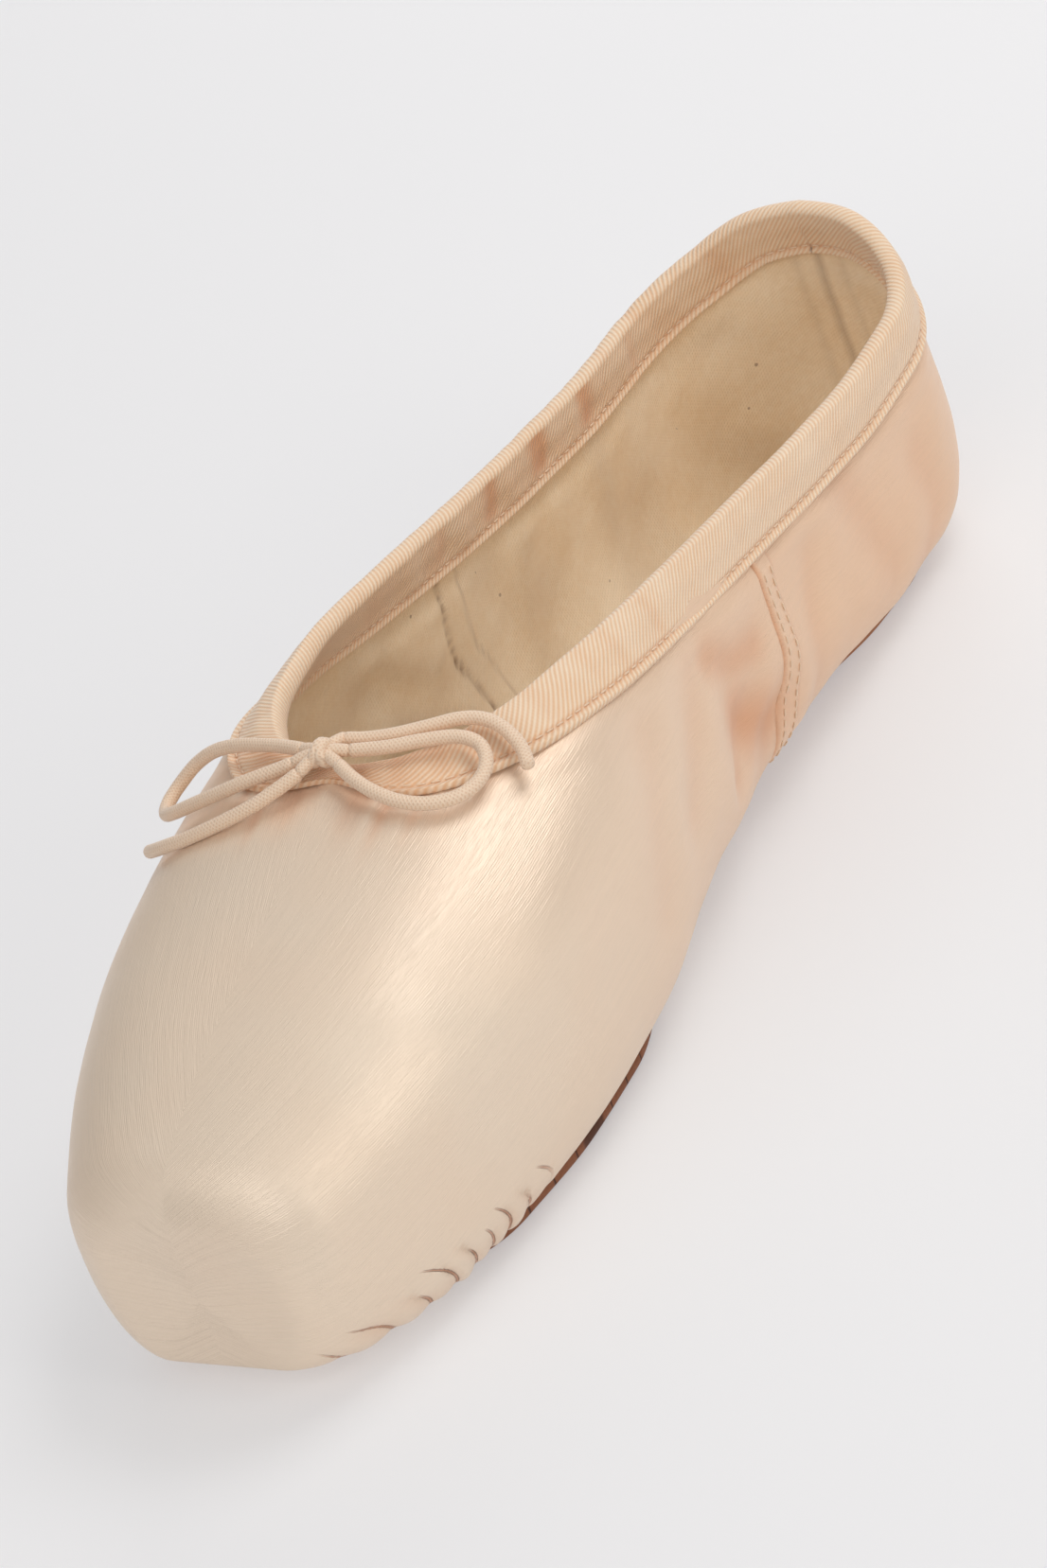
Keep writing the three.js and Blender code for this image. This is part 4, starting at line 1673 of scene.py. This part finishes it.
    def satin_relief(self, points: Array, s: Array, angle: Array, side: Side) -> tuple[Array, Array]:
        """Height of the satin over the last, and the shade painted in its folds and grooves.

        It adds the toe pleats, the seam's groove and the fold sewn flat behind it, the
        gathers at the throat, the swell below the tape and a faint unevenness.

        Args:
            points: The skin's points.
            s: Their stations.
            angle: Their angles.
            side: Right or left.

        Returns:
            Heights, and shades from 0 to 1.
        """
        height, shade = self.pleats.relief(points)
        behind = s - self.seam_station(angle, side)
        on_quarter = smoothstep(-120.0, -100.0, angle)
        groove = hump(behind, self.groove_width) * on_quarter
        flat = smoothstep(self.fold_width, self.fold_width - 0.6, behind)
        fold = smoothstep(0.0, 0.5, behind) * flat * on_quarter
        height = height - self.groove_depth * groove + self.fold_rise * fold
        # painted shade in the seam's groove and along the edge of the fold behind it
        shade = np.maximum(shade, 0.75 * groove)
        shade = np.maximum(shade, 0.35 * hump(behind - self.fold_width, 0.35) * on_quarter)
        rim = Rim.around(self.last, 60)
        from_rim = nearest_distance(points, np.vstack([rim.point, rim.point[:1]]))
        x = points[..., 0]
        gather = np.cos(2 * math.pi * (x / self.gather_pitch) + 0.9 * np.sin(x / 3.1))
        past_tape = from_rim - Binding(self.last).depth(np.abs(x) * 1.25)
        reach = hump(past_tape, 6.0) * hump(x, 16.0) * smoothstep(-30.0, -42.0, points[..., 1])
        height = height + self.gather_depth * gather * reach
        # painted shade in the hollows of the throat gathers
        shade = np.maximum(shade, 0.8 * reach * np.clip(0.3 - gather, 0, 1))
        height = height + 0.3 * hump(past_tape - 2.4, 1.8) - 0.2 * hump(past_tape + 0.6, 1.2)
        along = points[..., 1]
        level = points[..., 2] * 1.2 + x * 0.5
        slack = 0.35 + 0.65 * smoothstep(85.0, 125.0, s)
        height = height + slack * self.unevenness * ripple(along, level, 34.0, 1.3)
        height = height + slack * 0.05 * ripple(along * 1.3, level, 11.0, 4.1)
        return height, shade

    def creased(self, points: Array) -> tuple[Array, Array]:
        """How the creases sink the whole wall, with a low ridge on both sides of each.

        Args:
            points: Points of a skin.

        Returns:
            The height, below zero in the troughs, and the shade painted in them.
        """
        height = np.zeros(points.shape[:-1])
        shade = np.zeros(points.shape[:-1])
        for crease in self.creases:
            path = np.array(crease.places, dtype=float)
            line = curve_through(self.last.surface(path[:, 0], path[:, 1], crease.side), 5)
            away = nearest_distance(points, line)
            height = height - crease.depth * hump(away, crease.width)
            height = height + 0.4 * crease.depth * hump(away - 2.0 * crease.width, crease.width)
            # painted shade along each trough
            shade = np.maximum(shade, crease.tint * hump(away, crease.width * 0.85))
        return height, shade

    def lining_relief(self, points: Array, s: Array, angle: Array, side: Side) -> tuple[Array, Array]:
        """Height of the lining towards the foot: seams, soft wrinkles and slack cloth.

        The slack starts below the tape's inner fold, and never sinks under the plain lining.

        Args:
            points: The skin's points, with the rim in the last column.
            s: Their stations.
            angle: Their angles.
            side: Right or left.

        Returns:
            Heights, and shades from 0 to 1.
        """
        behind = s - self.seam_station(angle, side)
        around = np.where(s > self.last.heel_centre, self.last.back - s, 40.0)
        fold = smoothstep(-0.3, 0.6, behind) * smoothstep(5.2, 4.4, behind)
        height = 0.3 * fold - 0.3 * hump(behind + 0.4, 0.45) + 0.3 * smoothstep(4.4, 3.6, around)
        height = height - 0.2 * hump(around, 0.45)
        x, y, z = points[..., 0], points[..., 1], points[..., 2]
        slack = smoothstep(60.0, 100.0, s) * smoothstep(*self.slack_below, points[:, -1:, 2] - z)
        slow = ripple(y + 0.5 * z, z * 0.9 + 0.6 * x, 26.0, 2.2)
        quick = ripple(y * 1.2 - z, z * 0.7 - 0.5 * x, 10.0, 5.2)
        height = height + slack * (self.lining_slack * (1 + slow) + self.lining_wrinkle * (1 + quick))
        stitched = 0.65 + 0.35 * np.sin(2 * math.pi * z / 2.1)
        # the seam lines: partly dark stitching, partly painted shade in the groove; painted shade along the
        # heel strip's lines
        shade = 0.95 * hump(behind + 0.4, 0.42) * stitched + 0.35 * hump(behind - 5.2, 0.4)
        shade = shade + 0.45 * hump(around, 0.4) + 0.2 * hump(around - 4.3, 0.4)
        # painted shade in the slack wrinkles' hollows
        shade = shade + 0.15 * slack * smoothstep(0.1, -0.7, slow)
        return height, np.clip(shade, 0.0, 1.0)

    def shell(
        self,
        name: str,
        layout: Layout,
        depths: tuple[Array | float, Array | float],
        relief: Callable[..., tuple[Array, Array]],
        inner_relief: bool,
        material: Material,
    ) -> Piece:
        """Makes a closed shell of two skins, joined at the collar and at the opening below.

        Args:
            name: The piece's name.
            layout: How finely it is cut.
            depths: How far the outer and the inner skin lie inside the last.
            relief: Gives the height and shade of the skin that shows.
            inner_relief: Whether the inner skin is the one that shows.
            material: Its finish.

        Returns:
            The piece.
        """
        maker = MeshMaker(name)
        rows = layout.platform_rings
        s = np.concatenate([np.zeros(rows), layout.stations])[:, None]
        angles = self.angles(layout)
        angles = np.vstack([np.repeat(angles[:1], rows, axis=0), angles])
        for side in Side:
            mirrored = side is Side.LEFT
            indexes = []
            for inner, depth in enumerate(depths):
                points = self.skin(layout, side, depth)
                cloth = self.cloth(points, layout, side)
                height, shade = self.creased(points)
                if bool(inner) == inner_relief:
                    raised, folded = relief(points, s, angles, side)
                    height = height + (-raised if inner else raised)
                    shade = np.maximum(shade, folded)
                points = points + grid_normals(points, mirrored) * height[..., None]
                indexes.append(maker.grid(points, cloth, shade))
            outer, inside = indexes
            maker.skin(outer, mirrored)
            maker.skin(inside, not mirrored)
            collar = rows + np.flatnonzero(layout.stations >= self.last.throat - 1e-6)
            below = rows + np.flatnonzero(layout.stations >= self.last.opening_start - 1e-6)
            maker.strip(outer[collar, -1], inside[collar, -1], mirrored)
            maker.strip(inside[below, 0], outer[below, 0], mirrored)
        return maker.finish(material)

    def stations(self, steps: tuple[tuple[float, float], ...]) -> Array:
        """Stations with the throat, the opening's front and the heel back among them.

        Args:
            steps: Rows of a stretch's end and the step that it is cut in.

        Returns:
            Stations, rising.
        """
        start, parts = 0.0, []
        for end, step in steps:
            count = max(int(round((end - start) / step)), 1)
            parts.append(np.linspace(start, end, count, endpoint=False))
            start = end
        near_throat = self.last.throat + np.array([0.0, 0.12, 0.4, 0.8, 1.3, 2.0])
        extra = [self.last.opening_start, self.last.opening_start + 0.15, self.last.back]
        merged = np.sort(np.concatenate([*parts, near_throat, extra]))
        keep = np.concatenate([[True], np.diff(merged) > 0.05])
        keep |= np.isin(merged, [self.last.throat, self.last.opening_start, self.last.back])
        return merged[keep]

    def build(self, satin: Material, drill: Material) -> None:
        """Makes the satin skin and the lining.

        Args:
            satin: The finish outside.
            drill: The finish inside.
        """
        edge = self.last.toe_edge * (1 - np.cos(np.linspace(0.0, math.pi / 2, 11)))
        steps = ((7.0, 50.0), (40.0, 0.62), (70.0, 1.3), (143.0, 1.35), (156.0, 0.4), (253.7, 1.35))
        outer = np.unique(np.concatenate([self.stations(steps), edge[:-1]]))
        fine = Layout(outer, 8, 22, 28, 36)
        shell = self.shell("upper_satin", fine, (0.0, self.satin_thick), self.satin_relief, False, satin)
        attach(shell, BODY)
        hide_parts("upper")
        inner = self.stations(((7.0, 1.4), (60.0, 3.5), (140.0, 1.6), (160.0, 0.7), (253.7, 1.5)))
        plain = Layout(inner, 4, 10, 22, 30)
        wall = self.last.wall(inner)[:, None]
        shell = self.shell(
            "upper_lining", plain, (wall - self.lining_thick, wall), self.lining_relief, True, drill
        )
        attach(shell, BODY)


# ---- outsole and insole ----


def round_end(distance: Array, depth: float, power: float) -> Array:
    """How far a round end has opened: zero at its tip, one past its depth.

    One minus the remaining share to a power, all to the inverse power: a superellipse.
    """
    left = np.clip(1 - distance / depth, 0.0, 1.0)
    return (1 - left**power) ** (1 / power)


@dataclass(frozen=True)
class Outsole:
    """The leather outsole: bevelled edge, a channel inside it and two tacks."""

    last: Last
    front: float = 24.0
    back: float = 223.0
    bevel: float = 0.7
    channel_inset: float = 2.8
    channel_depth: float = 0.35
    channel_width: float = 0.45
    front_round: float = 20.0
    back_round: float = 19.0
    tacks: tuple[tuple[float, float], ...] = ((3.0, -22.0), (-2.5, 22.0))
    # radius, height over the sole's underside: the dome, its edge and the shaft
    tack_profile: tuple[tuple[float, float], ...] = (
        (0.0, -0.14), (0.5, -0.11), (0.8, -0.04), (0.95, 0.06), (0.95, 1.2), (0.0, 1.2),
    )
    # distance, half width
    rows: tuple[tuple[float, float], ...] = (
        (24, 24), (44, 27.5), (62, 29.5), (78, 29), (95, 24.5), (115, 18), (140, 15.2),
        (165, 15.8), (190, 18.4), (205, 19.2), (223, 19.2),
    )

    def half_width(self, s: Array) -> Array:
        """The table's half width, without the round ends."""
        return Column.through(list(self.rows), 1)(s)

    def outline(self, t: Array) -> Array:
        """Half width with the round ends."""
        front = round_end(t - self.front, self.front_round, 2.4)
        return self.half_width(t) * front * round_end(self.back - t, self.back_round, 2.0)

    def build(self, leather: Material, brass: Material) -> None:
        """Makes the sole and its tacks.

        Args:
            leather: The sole's finish.
            brass: The tacks' finish.
        """
        turn = np.linspace(0.0, math.pi, 240)
        t = self.front + (self.back - self.front) * (1 - np.cos(turn)) / 2
        half = self.outline(t)[:, None]
        share = np.sin(np.linspace(-math.pi / 2, math.pi / 2, 91))[None, :]
        x = half * share
        lift = self.last.lift(t)[:, None]
        inside = half - np.abs(x)
        past = np.clip(1 - inside / self.bevel, 0.0, 1.0)
        edge = self.bevel * (1 - np.sqrt(1 - past**2))
        from_channel = inside - self.channel_inset
        channel = self.channel_depth * hump(from_channel, self.channel_width) * smoothstep(0.0, 4.0, half)
        low = lift + edge + channel
        high = lift + self.last.sole_thick - 0.25 * past
        y = np.broadcast_to(t[:, None] - self.last.length / 2, x.shape)
        # painted shade along the channel groove
        shade = 0.7 * hump(from_channel, 0.5) * smoothstep(0.0, 4.0, half)
        maker = MeshMaker("outsole_leather")
        maker.plate(x, y, low, high, shade)
        sole = maker.finish(leather)
        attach(sole, BODY)
        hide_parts("outsole")
        heads = MeshMaker("sole_tacks")
        for x_tack, y_tack in self.tacks:
            self.tack(heads, x_tack, y_tack)
        tacks = heads.finish(brass)
        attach(tacks, BODY)

    def tack(self, maker: MeshMaker, x: float, y: float) -> None:
        """Adds a domed tack head, sunk into the leather but for its dome.

        It is the profile turned about an upright line.

        Args:
            maker: The mesh that takes it.
            x: Place across the sole.
            y: Place along it.
        """
        lift = float(self.last.lift(np.array(y + self.last.length / 2)))
        radius, height = np.array(self.tack_profile).T
        turn = np.linspace(0.0, 2 * math.pi, 25)
        ring = np.stack(np.broadcast_arrays(
            x + radius[:, None] * np.cos(turn), y + radius[:, None] * np.sin(turn), lift + height[:, None]
        ), axis=-1)
        ring[:, -1] = ring[:, 0]
        maker.skin(maker.grid(ring, ring[..., :2]), flip=True)


@dataclass(frozen=True)
class Insole:
    """The insole: a thin covered board with rounded edges and a slightly raised middle."""

    last: Last
    front: float = 28.0
    thick: float = 1.5
    overhang: float = 0.8
    heel_gap: float = 1.5
    lift: float = 0.45
    edge: float = 0.8
    edge_roll: float = 0.5
    bulge: float = 0.1

    def build(self, board: Material) -> None:
        """Makes the board.

        Its half width follows the inner flat of the upper. The top bulges by a tenth of a
        millimetre and rounds off towards the edge.

        Args:
            board: The finish of its cover.
        """
        back = self.last.heel_centre + self.last.heel_back[3] - self.heel_gap
        turn = np.linspace(0.0, math.pi, 150)
        t = self.front + (back - self.front) * (1 - np.cos(turn)) / 2
        inner = self.last.section(np.minimum(t, self.last.heel_centre)).inset(self.last.wall(t))
        ends = round_end(t - self.front, 12.0, 2.6) * round_end(back - t, back - self.last.heel_centre, 2.0)
        half = ((inner.flat - 0.6) * ends)[:, None]
        share = np.sin(np.linspace(-math.pi / 2, math.pi / 2, 41))[None, :]
        x = (half + self.overhang * ends[:, None]) * share
        y = np.broadcast_to(t[:, None] - self.last.length / 2, x.shape)
        inside = (half + self.overhang * ends[:, None]) * (1 - np.abs(share))
        past = np.clip(1 - inside / self.edge, 0.0, 1.0)
        rolled = self.edge_roll * (1 - np.sqrt(1 - past**2))
        low = (inner.under + self.lift)[:, None] + rolled
        top = low + self.thick - 2 * rolled + self.bulge * smoothstep(0.0, 8.0, inside)
        maker = MeshMaker("insole_board")
        maker.plate(x, y, low, top)
        made = maker.finish(board)
        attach(made, BODY)
        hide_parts("insole")


# ---- binding, heel strip and stitches ----


@dataclass(frozen=True)
class Gather:
    """How one face of the tape is gathered: its waves, and how deep they show as shade."""

    wave: float
    seed: float
    lean: float
    strength: float
    shade: float


@dataclass(frozen=True)
class Binding:
    """Twill tape folded over the collar: a casing for the drawstring, sewn along its edge."""

    last: Last
    drop: float = 9.2
    notch: float = 5.8
    notch_width: float = 8.5
    stitch_inset: float = 1.9
    thick: float = 0.7
    lie: float = 0.12
    crest: float = 0.95
    swell: float = 0.36
    # the sewn line, as a share of the fold's depth
    sewn: float = 0.8
    rim_points: int = 300
    outside: Gather = Gather(6.4, 0.7, 1.6, 0.8, 0.9)
    inside: Gather = Gather(11.0, 2.9, 3.0, 1.5, 1.5)

    def depth(self, reach: Array) -> Array:
        """How far the outer fold comes down: less in a notch under the knot."""
        return self.drop - self.notch * hump(reach, self.notch_width)

    def pull(self, reach: Array) -> Array:
        """How hard the drawstring gathers the tape: most at the throat and along the left.

        Args:
            reach: Signed length along the rim from the throat.

        Returns:
            Shares of the full gather, none where the ends meet at the heel.
        """
        left = smoothstep(-60.0, -95.0, reach) * smoothstep(-186.0, -160.0, reach)
        join = smoothstep(0.0, 14.0, np.abs(reach).max() - np.abs(reach))
        return (0.1 + 0.4 * hump(reach, 22.0) + 0.5 * left + 0.12 * hump(reach - 60.0, 20.0)) * join

    def loose(self, share: Array) -> Array:
        """How free the tape is: fully near the rim, not at all from the sewn line down."""
        return smoothstep(0.84, 0.6, share)

    def relief(self, reach: Array, share: Array, face: Gather) -> Array:
        """Height of the tape's face: the casing's swell, the sewn edge and the gathers.

        The gathers are waves along the rim, of two lengths, that lean a little as they come
        down and die out at the sewn edge.

        Args:
            reach: Signed length along the rim from the throat.
            share: How far down from the rim, as a share of the fold's depth.
            face: How this face is gathered.

        Returns:
            Heights over a plain tape.
        """
        lean = share * face.lean
        gather = ripple(reach + lean, reach * 0.0, face.wave, face.seed)
        fine = ripple(reach - lean, share * 2.0, 2.9, 3.3)
        swell = self.swell * hump(share - 0.28, 0.2)
        edge = 0.4 * hump(share - 0.93, 0.045) - 0.3 * hump(share - self.sewn, 0.05)
        amount = self.pull(reach) * face.strength
        growing = 0.35 + 0.65 * share / 0.6
        return swell + edge + amount * (0.62 * gather + 0.22 * fine) * self.loose(share) * growing

    def hollow_shade(self, reach: Array, face: Gather) -> Array:
        """The shade painted in the hollows of a face's gathers, along the rim."""
        waves = ripple(reach, reach * 0.0, face.wave, face.seed)
        return face.shade * self.pull(reach) * np.clip(-waves, 0.0, 1.0)

    def shades(self, reach: Array, share: Array, crest_rows: int, rest: int) -> Array:
        """The shade painted on every line of the section.

        Args:
            reach: Signed length along the rim, (1, points).
            share: How far down the faces' lines lie, (lines, 1).
            crest_rows: Lines over the rim.
            rest: Lines that don't show.

        Returns:
            Shades, in the order of the section.
        """
        hollow_shade = self.hollow_shade(reach, self.outside)
        # painted shade along the sewn line, and in the puckers under the knot
        seam = hump(share - self.sewn, 0.05) * 0.55
        notch = 0.6 * hump(reach, 15.0) * (0.6 + 0.4 * ripple(reach, reach * 0.0, 4.0, 1.1))
        loose = self.loose(share)
        return np.concatenate([
            np.maximum(hollow_shade * loose + notch, seam)[::-1],
            np.broadcast_to(0.4 * hollow_shade, (crest_rows, reach.size)),
            np.maximum(self.hollow_shade(reach, self.inside) * loose, seam),
            np.zeros((rest, reach.size)),
        ])

    def build(self, twill: Material) -> None:
        """Makes the tape: a closed section carried round the collar.

        Args:
            twill: Its finish.
        """
        rim = Rim.around(self.last, self.rim_points)
        share = np.concatenate([np.linspace(0.0, 0.7, 13, endpoint=False), np.linspace(0.7, 1.0, 15)])
        share = share[:, None]
        reach = rim.reach[None, :]
        outer_at, outer_out = rim.slide(share * self.depth(reach))
        inner_at, inner_out = rim.slide(share * np.full_like(reach, self.drop))
        wall = self.last.wall(inner_at[..., 1] + self.last.length / 2)
        outer_face = self.relief(reach, share, self.outside)
        inner_face = self.relief(reach, share, self.inside)
        fall = 0.5 * smoothstep(0.955, 1.0, share)
        outer = self.lie + self.thick + outer_face - fall
        inner = -wall - self.lie - self.thick - 0.8 * inner_face + fall
        turn = np.linspace(0.0, math.pi, 11)[1:-1][:, None]
        middle, swing = (outer[0] + inner[0]) / 2, (outer[0] - inner[0]) / 2
        crest = (
            rim.point
            + rim.normal * (middle + swing * np.cos(turn))[..., None]
            - rim.down * ((self.crest + 0.3 * outer_face[0]) * np.sin(turn))[..., None]
        )
        back = slice(None, None, 4)
        section = np.concatenate([
            (outer_at + outer_out * outer[..., None])[::-1],
            crest,
            inner_at + inner_out * inner[..., None],
            (inner_at + inner_out * (-wall - self.lie)[..., None])[::-1][back],
            (rim.point - rim.down * 0.25)[None],
            (outer_at + outer_out * self.lie)[back],
        ])
        section = np.concatenate([section, (outer_at + outer_out * outer[..., None])[-1:]])
        fine = share[:, 0] * self.drop
        down = np.concatenate([
            fine[::-1], -turn[:, 0], -fine - 3.0, -fine[::-1][back] - 3.0, [0.0], fine[back], fine[-1:],
        ])
        rest = len(section) - 2 * len(share) - len(turn)
        shade = self.shades(reach, share, len(turn), rest)
        cloth = np.stack(np.broadcast_arrays(down[:, None], reach), axis=-1)
        section = np.concatenate([section, section[:, :1]], axis=1)
        cloth = np.concatenate([cloth, cloth[:, -1:] + (cloth[:, 1:2] - cloth[:, :1])], axis=1)
        shade = np.concatenate([shade, shade[:, :1]], axis=1)
        maker = MeshMaker("collar_binding_tape")
        maker.skin(maker.grid(section, cloth, np.clip(shade, 0.0, 1.0)), flip=True)
        made = maker.finish(twill)
        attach(made, BODY)
        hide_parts("collar_binding")


@dataclass(frozen=True)
class HeelStrip:
    """A satin strip over the back seam, from under the tape down to the outsole."""

    last: Last
    half: float = 6.5
    proud: float = 0.5
    seam_inset: float = 1.5
    seam_dip: float = 0.16
    pucker: float = 0.06
    # degrees round the heel back: the lowest edge, and how far the top lies below the rim
    lowest: float = -112.0
    below_rim: float = 7.0

    def places(self, rows: Array, across: Array) -> tuple[Array, Array]:
        """Points on the last over the strip, and their normals.

        Args:
            rows: Angles down the heel back.
            across: Signed distances from the middle.

        Returns:
            Points and normals, (rows, across, 3).
        """
        back = np.full((len(rows), 1), self.last.back)
        radius, _ = self.last.profile(self.last.section(back), rows[:, None])
        turn = np.abs(across)[None, :] / np.maximum(radius, 6.0)
        s = self.last.back - turn / (math.pi / 2) * self.last.turn_length
        right = self.last.surface(s, np.broadcast_to(rows[:, None], s.shape), Side.RIGHT)
        points = to_side(right, across)
        rows_step = np.gradient(points, axis=0)
        across_step = np.gradient(points, axis=1)
        return points, unit(np.cross(rows_step, across_step))

    def build(self, satin: Material, row: StitchRow) -> None:
        """Makes the strip and sews its two rows.

        Its height is a plateau that rolls off at the edges, less a dip along each row.

        Args:
            satin: Its finish.
            row: Sews the stitches.
        """
        top = float(self.last.rim_angle(np.array([self.last.back]))[0]) - self.below_rim
        rows = np.linspace(self.lowest, top, 130)
        across = self.half * np.sin(np.linspace(-math.pi / 2, math.pi / 2, 41))
        points, normal = self.places(rows, across)
        roll = np.sqrt(np.clip(1 - np.abs(across / self.half) ** 10, 0.0, 1.0))
        seam = hump(np.abs(across) - (self.half - self.seam_inset), 0.5)
        height = self.proud * roll - self.seam_dip * seam
        pucker = self.pucker * seam * np.sin(rows[:, None] * 1.9)
        tucked = 0.25 + 0.75 * smoothstep(top - 1.0, top - 4.0, rows[:, None])
        height = (height[None, :] + pucker) * tucked
        maker = MeshMaker("heel_strip")
        cloth = np.stack(np.broadcast_arrays(across[None, :], rows[:, None] * 0.5), axis=-1)
        # painted shade along the dips of the sewn rows
        shade = np.broadcast_to(0.3 * seam, points.shape[:2])
        face = maker.grid(points + normal * height[..., None], cloth, shade)
        under = maker.grid(points - normal * 0.25, cloth)
        maker.skin(face)
        maker.skin(under, flip=True)
        maker.strip(under[:, 0], face[:, 0])
        maker.strip(face[:, -1], under[:, -1])
        maker.strip(face[0], under[0])
        maker.strip(under[-1], face[-1])
        made = maker.finish(satin)
        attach(made, BODY)
        for sign in (-1.0, 1.0):
            offsets = sign * (self.half - self.seam_inset) + np.array([-0.2, 0.0, 0.2])
            line, out = self.places(rows, offsets)
            seen = rows < top - 4.0
            raised = line[:, 1] + out[:, 1] * (self.proud - 0.14)
            row.sew(raised[seen], out[seen, 1])


@dataclass(frozen=True)
class Stitching:
    """Every visible row of thread: along the tape, down the side seams and the heel strip."""

    last: Last
    upper: Upper
    binding: Binding
    seam_rows: tuple[float, ...] = (1.2, 4.0)
    seam_span: tuple[float, float] = (-84.0, 13.0)
    seam_lift: float = 0.07
    tape_sink: float = 0.22

    def tape_rows(self, row: StitchRow) -> None:
        """Sews the tape's edge, outside and inside.

        Args:
            row: Sews the stitches.
        """
        rim = Rim.around(self.last, 240)
        binding = self.binding
        depths = np.stack([binding.depth(rim.reach), np.full_like(rim.reach, binding.drop)])
        points, normals = rim.slide(depths - binding.stitch_inset)
        points = np.concatenate([points, points[:, :1]], axis=1)
        normals = np.concatenate([normals, normals[:, :1]], axis=1)
        wall = self.last.wall(points[1, :, 1] + self.last.length / 2)[:, None]
        face = binding.lie + binding.thick - self.tape_sink
        row.sew(points[0] + normals[0] * face, normals[0])
        row.sew(points[1] - normals[1] * (wall + face), -normals[1])

    def side_rows(self, row: StitchRow) -> None:
        """Sews the fold behind each side seam.

        Args:
            row: Sews the stitches.
        """
        angle = np.linspace(*self.seam_span, 60)
        for side in Side:
            for behind in self.seam_rows:
                s = self.upper.seam_station(angle, side) + behind
                line = self.last.surface(s, angle, side)
                ahead = self.last.surface(s + 0.3, angle, side)
                out = unit(np.cross(ahead - line, np.gradient(line, axis=0))) * side.value
                sunk, _ = self.upper.creased(line)
                raised, _ = self.upper.satin_relief(line, s, angle, side)
                row.sew(line + out * (sunk + raised + self.seam_lift)[:, None], out)


def main() -> None:
    """Builds the scene: camera and bow first, then the shoe from the outside in."""
    logging.basicConfig(level=logging.INFO, format="%(name)s %(message)s")
    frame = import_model()
    LOG.info("nodes: %s", ", ".join(sorted(frame["nodes"])))
    studio = Studio()
    studio.camera()
    last = Last()
    Bow().build(Braid().material())
    satin = Satin().material()
    upper = Upper(last)
    upper.build(satin, Drill().material())
    Outsole(last).build(SoleLeather().material(), Brass().material())
    Insole(last).build(Drill("insole cover", thread=0.7, flecks=False).material())
    binding = Binding(last)
    binding.build(Twill().material())
    row = StitchRow(MeshMaker("stitches"))
    HeelStrip(last).build(satin, row)
    stitching = Stitching(last, upper, binding)
    stitching.tape_rows(row)
    stitching.side_rows(row)
    threads = row.maker.finish(Thread().material())
    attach(threads, BODY)
    studio.lights()
    studio.floor()


if __name__ == "__main__":
    main()
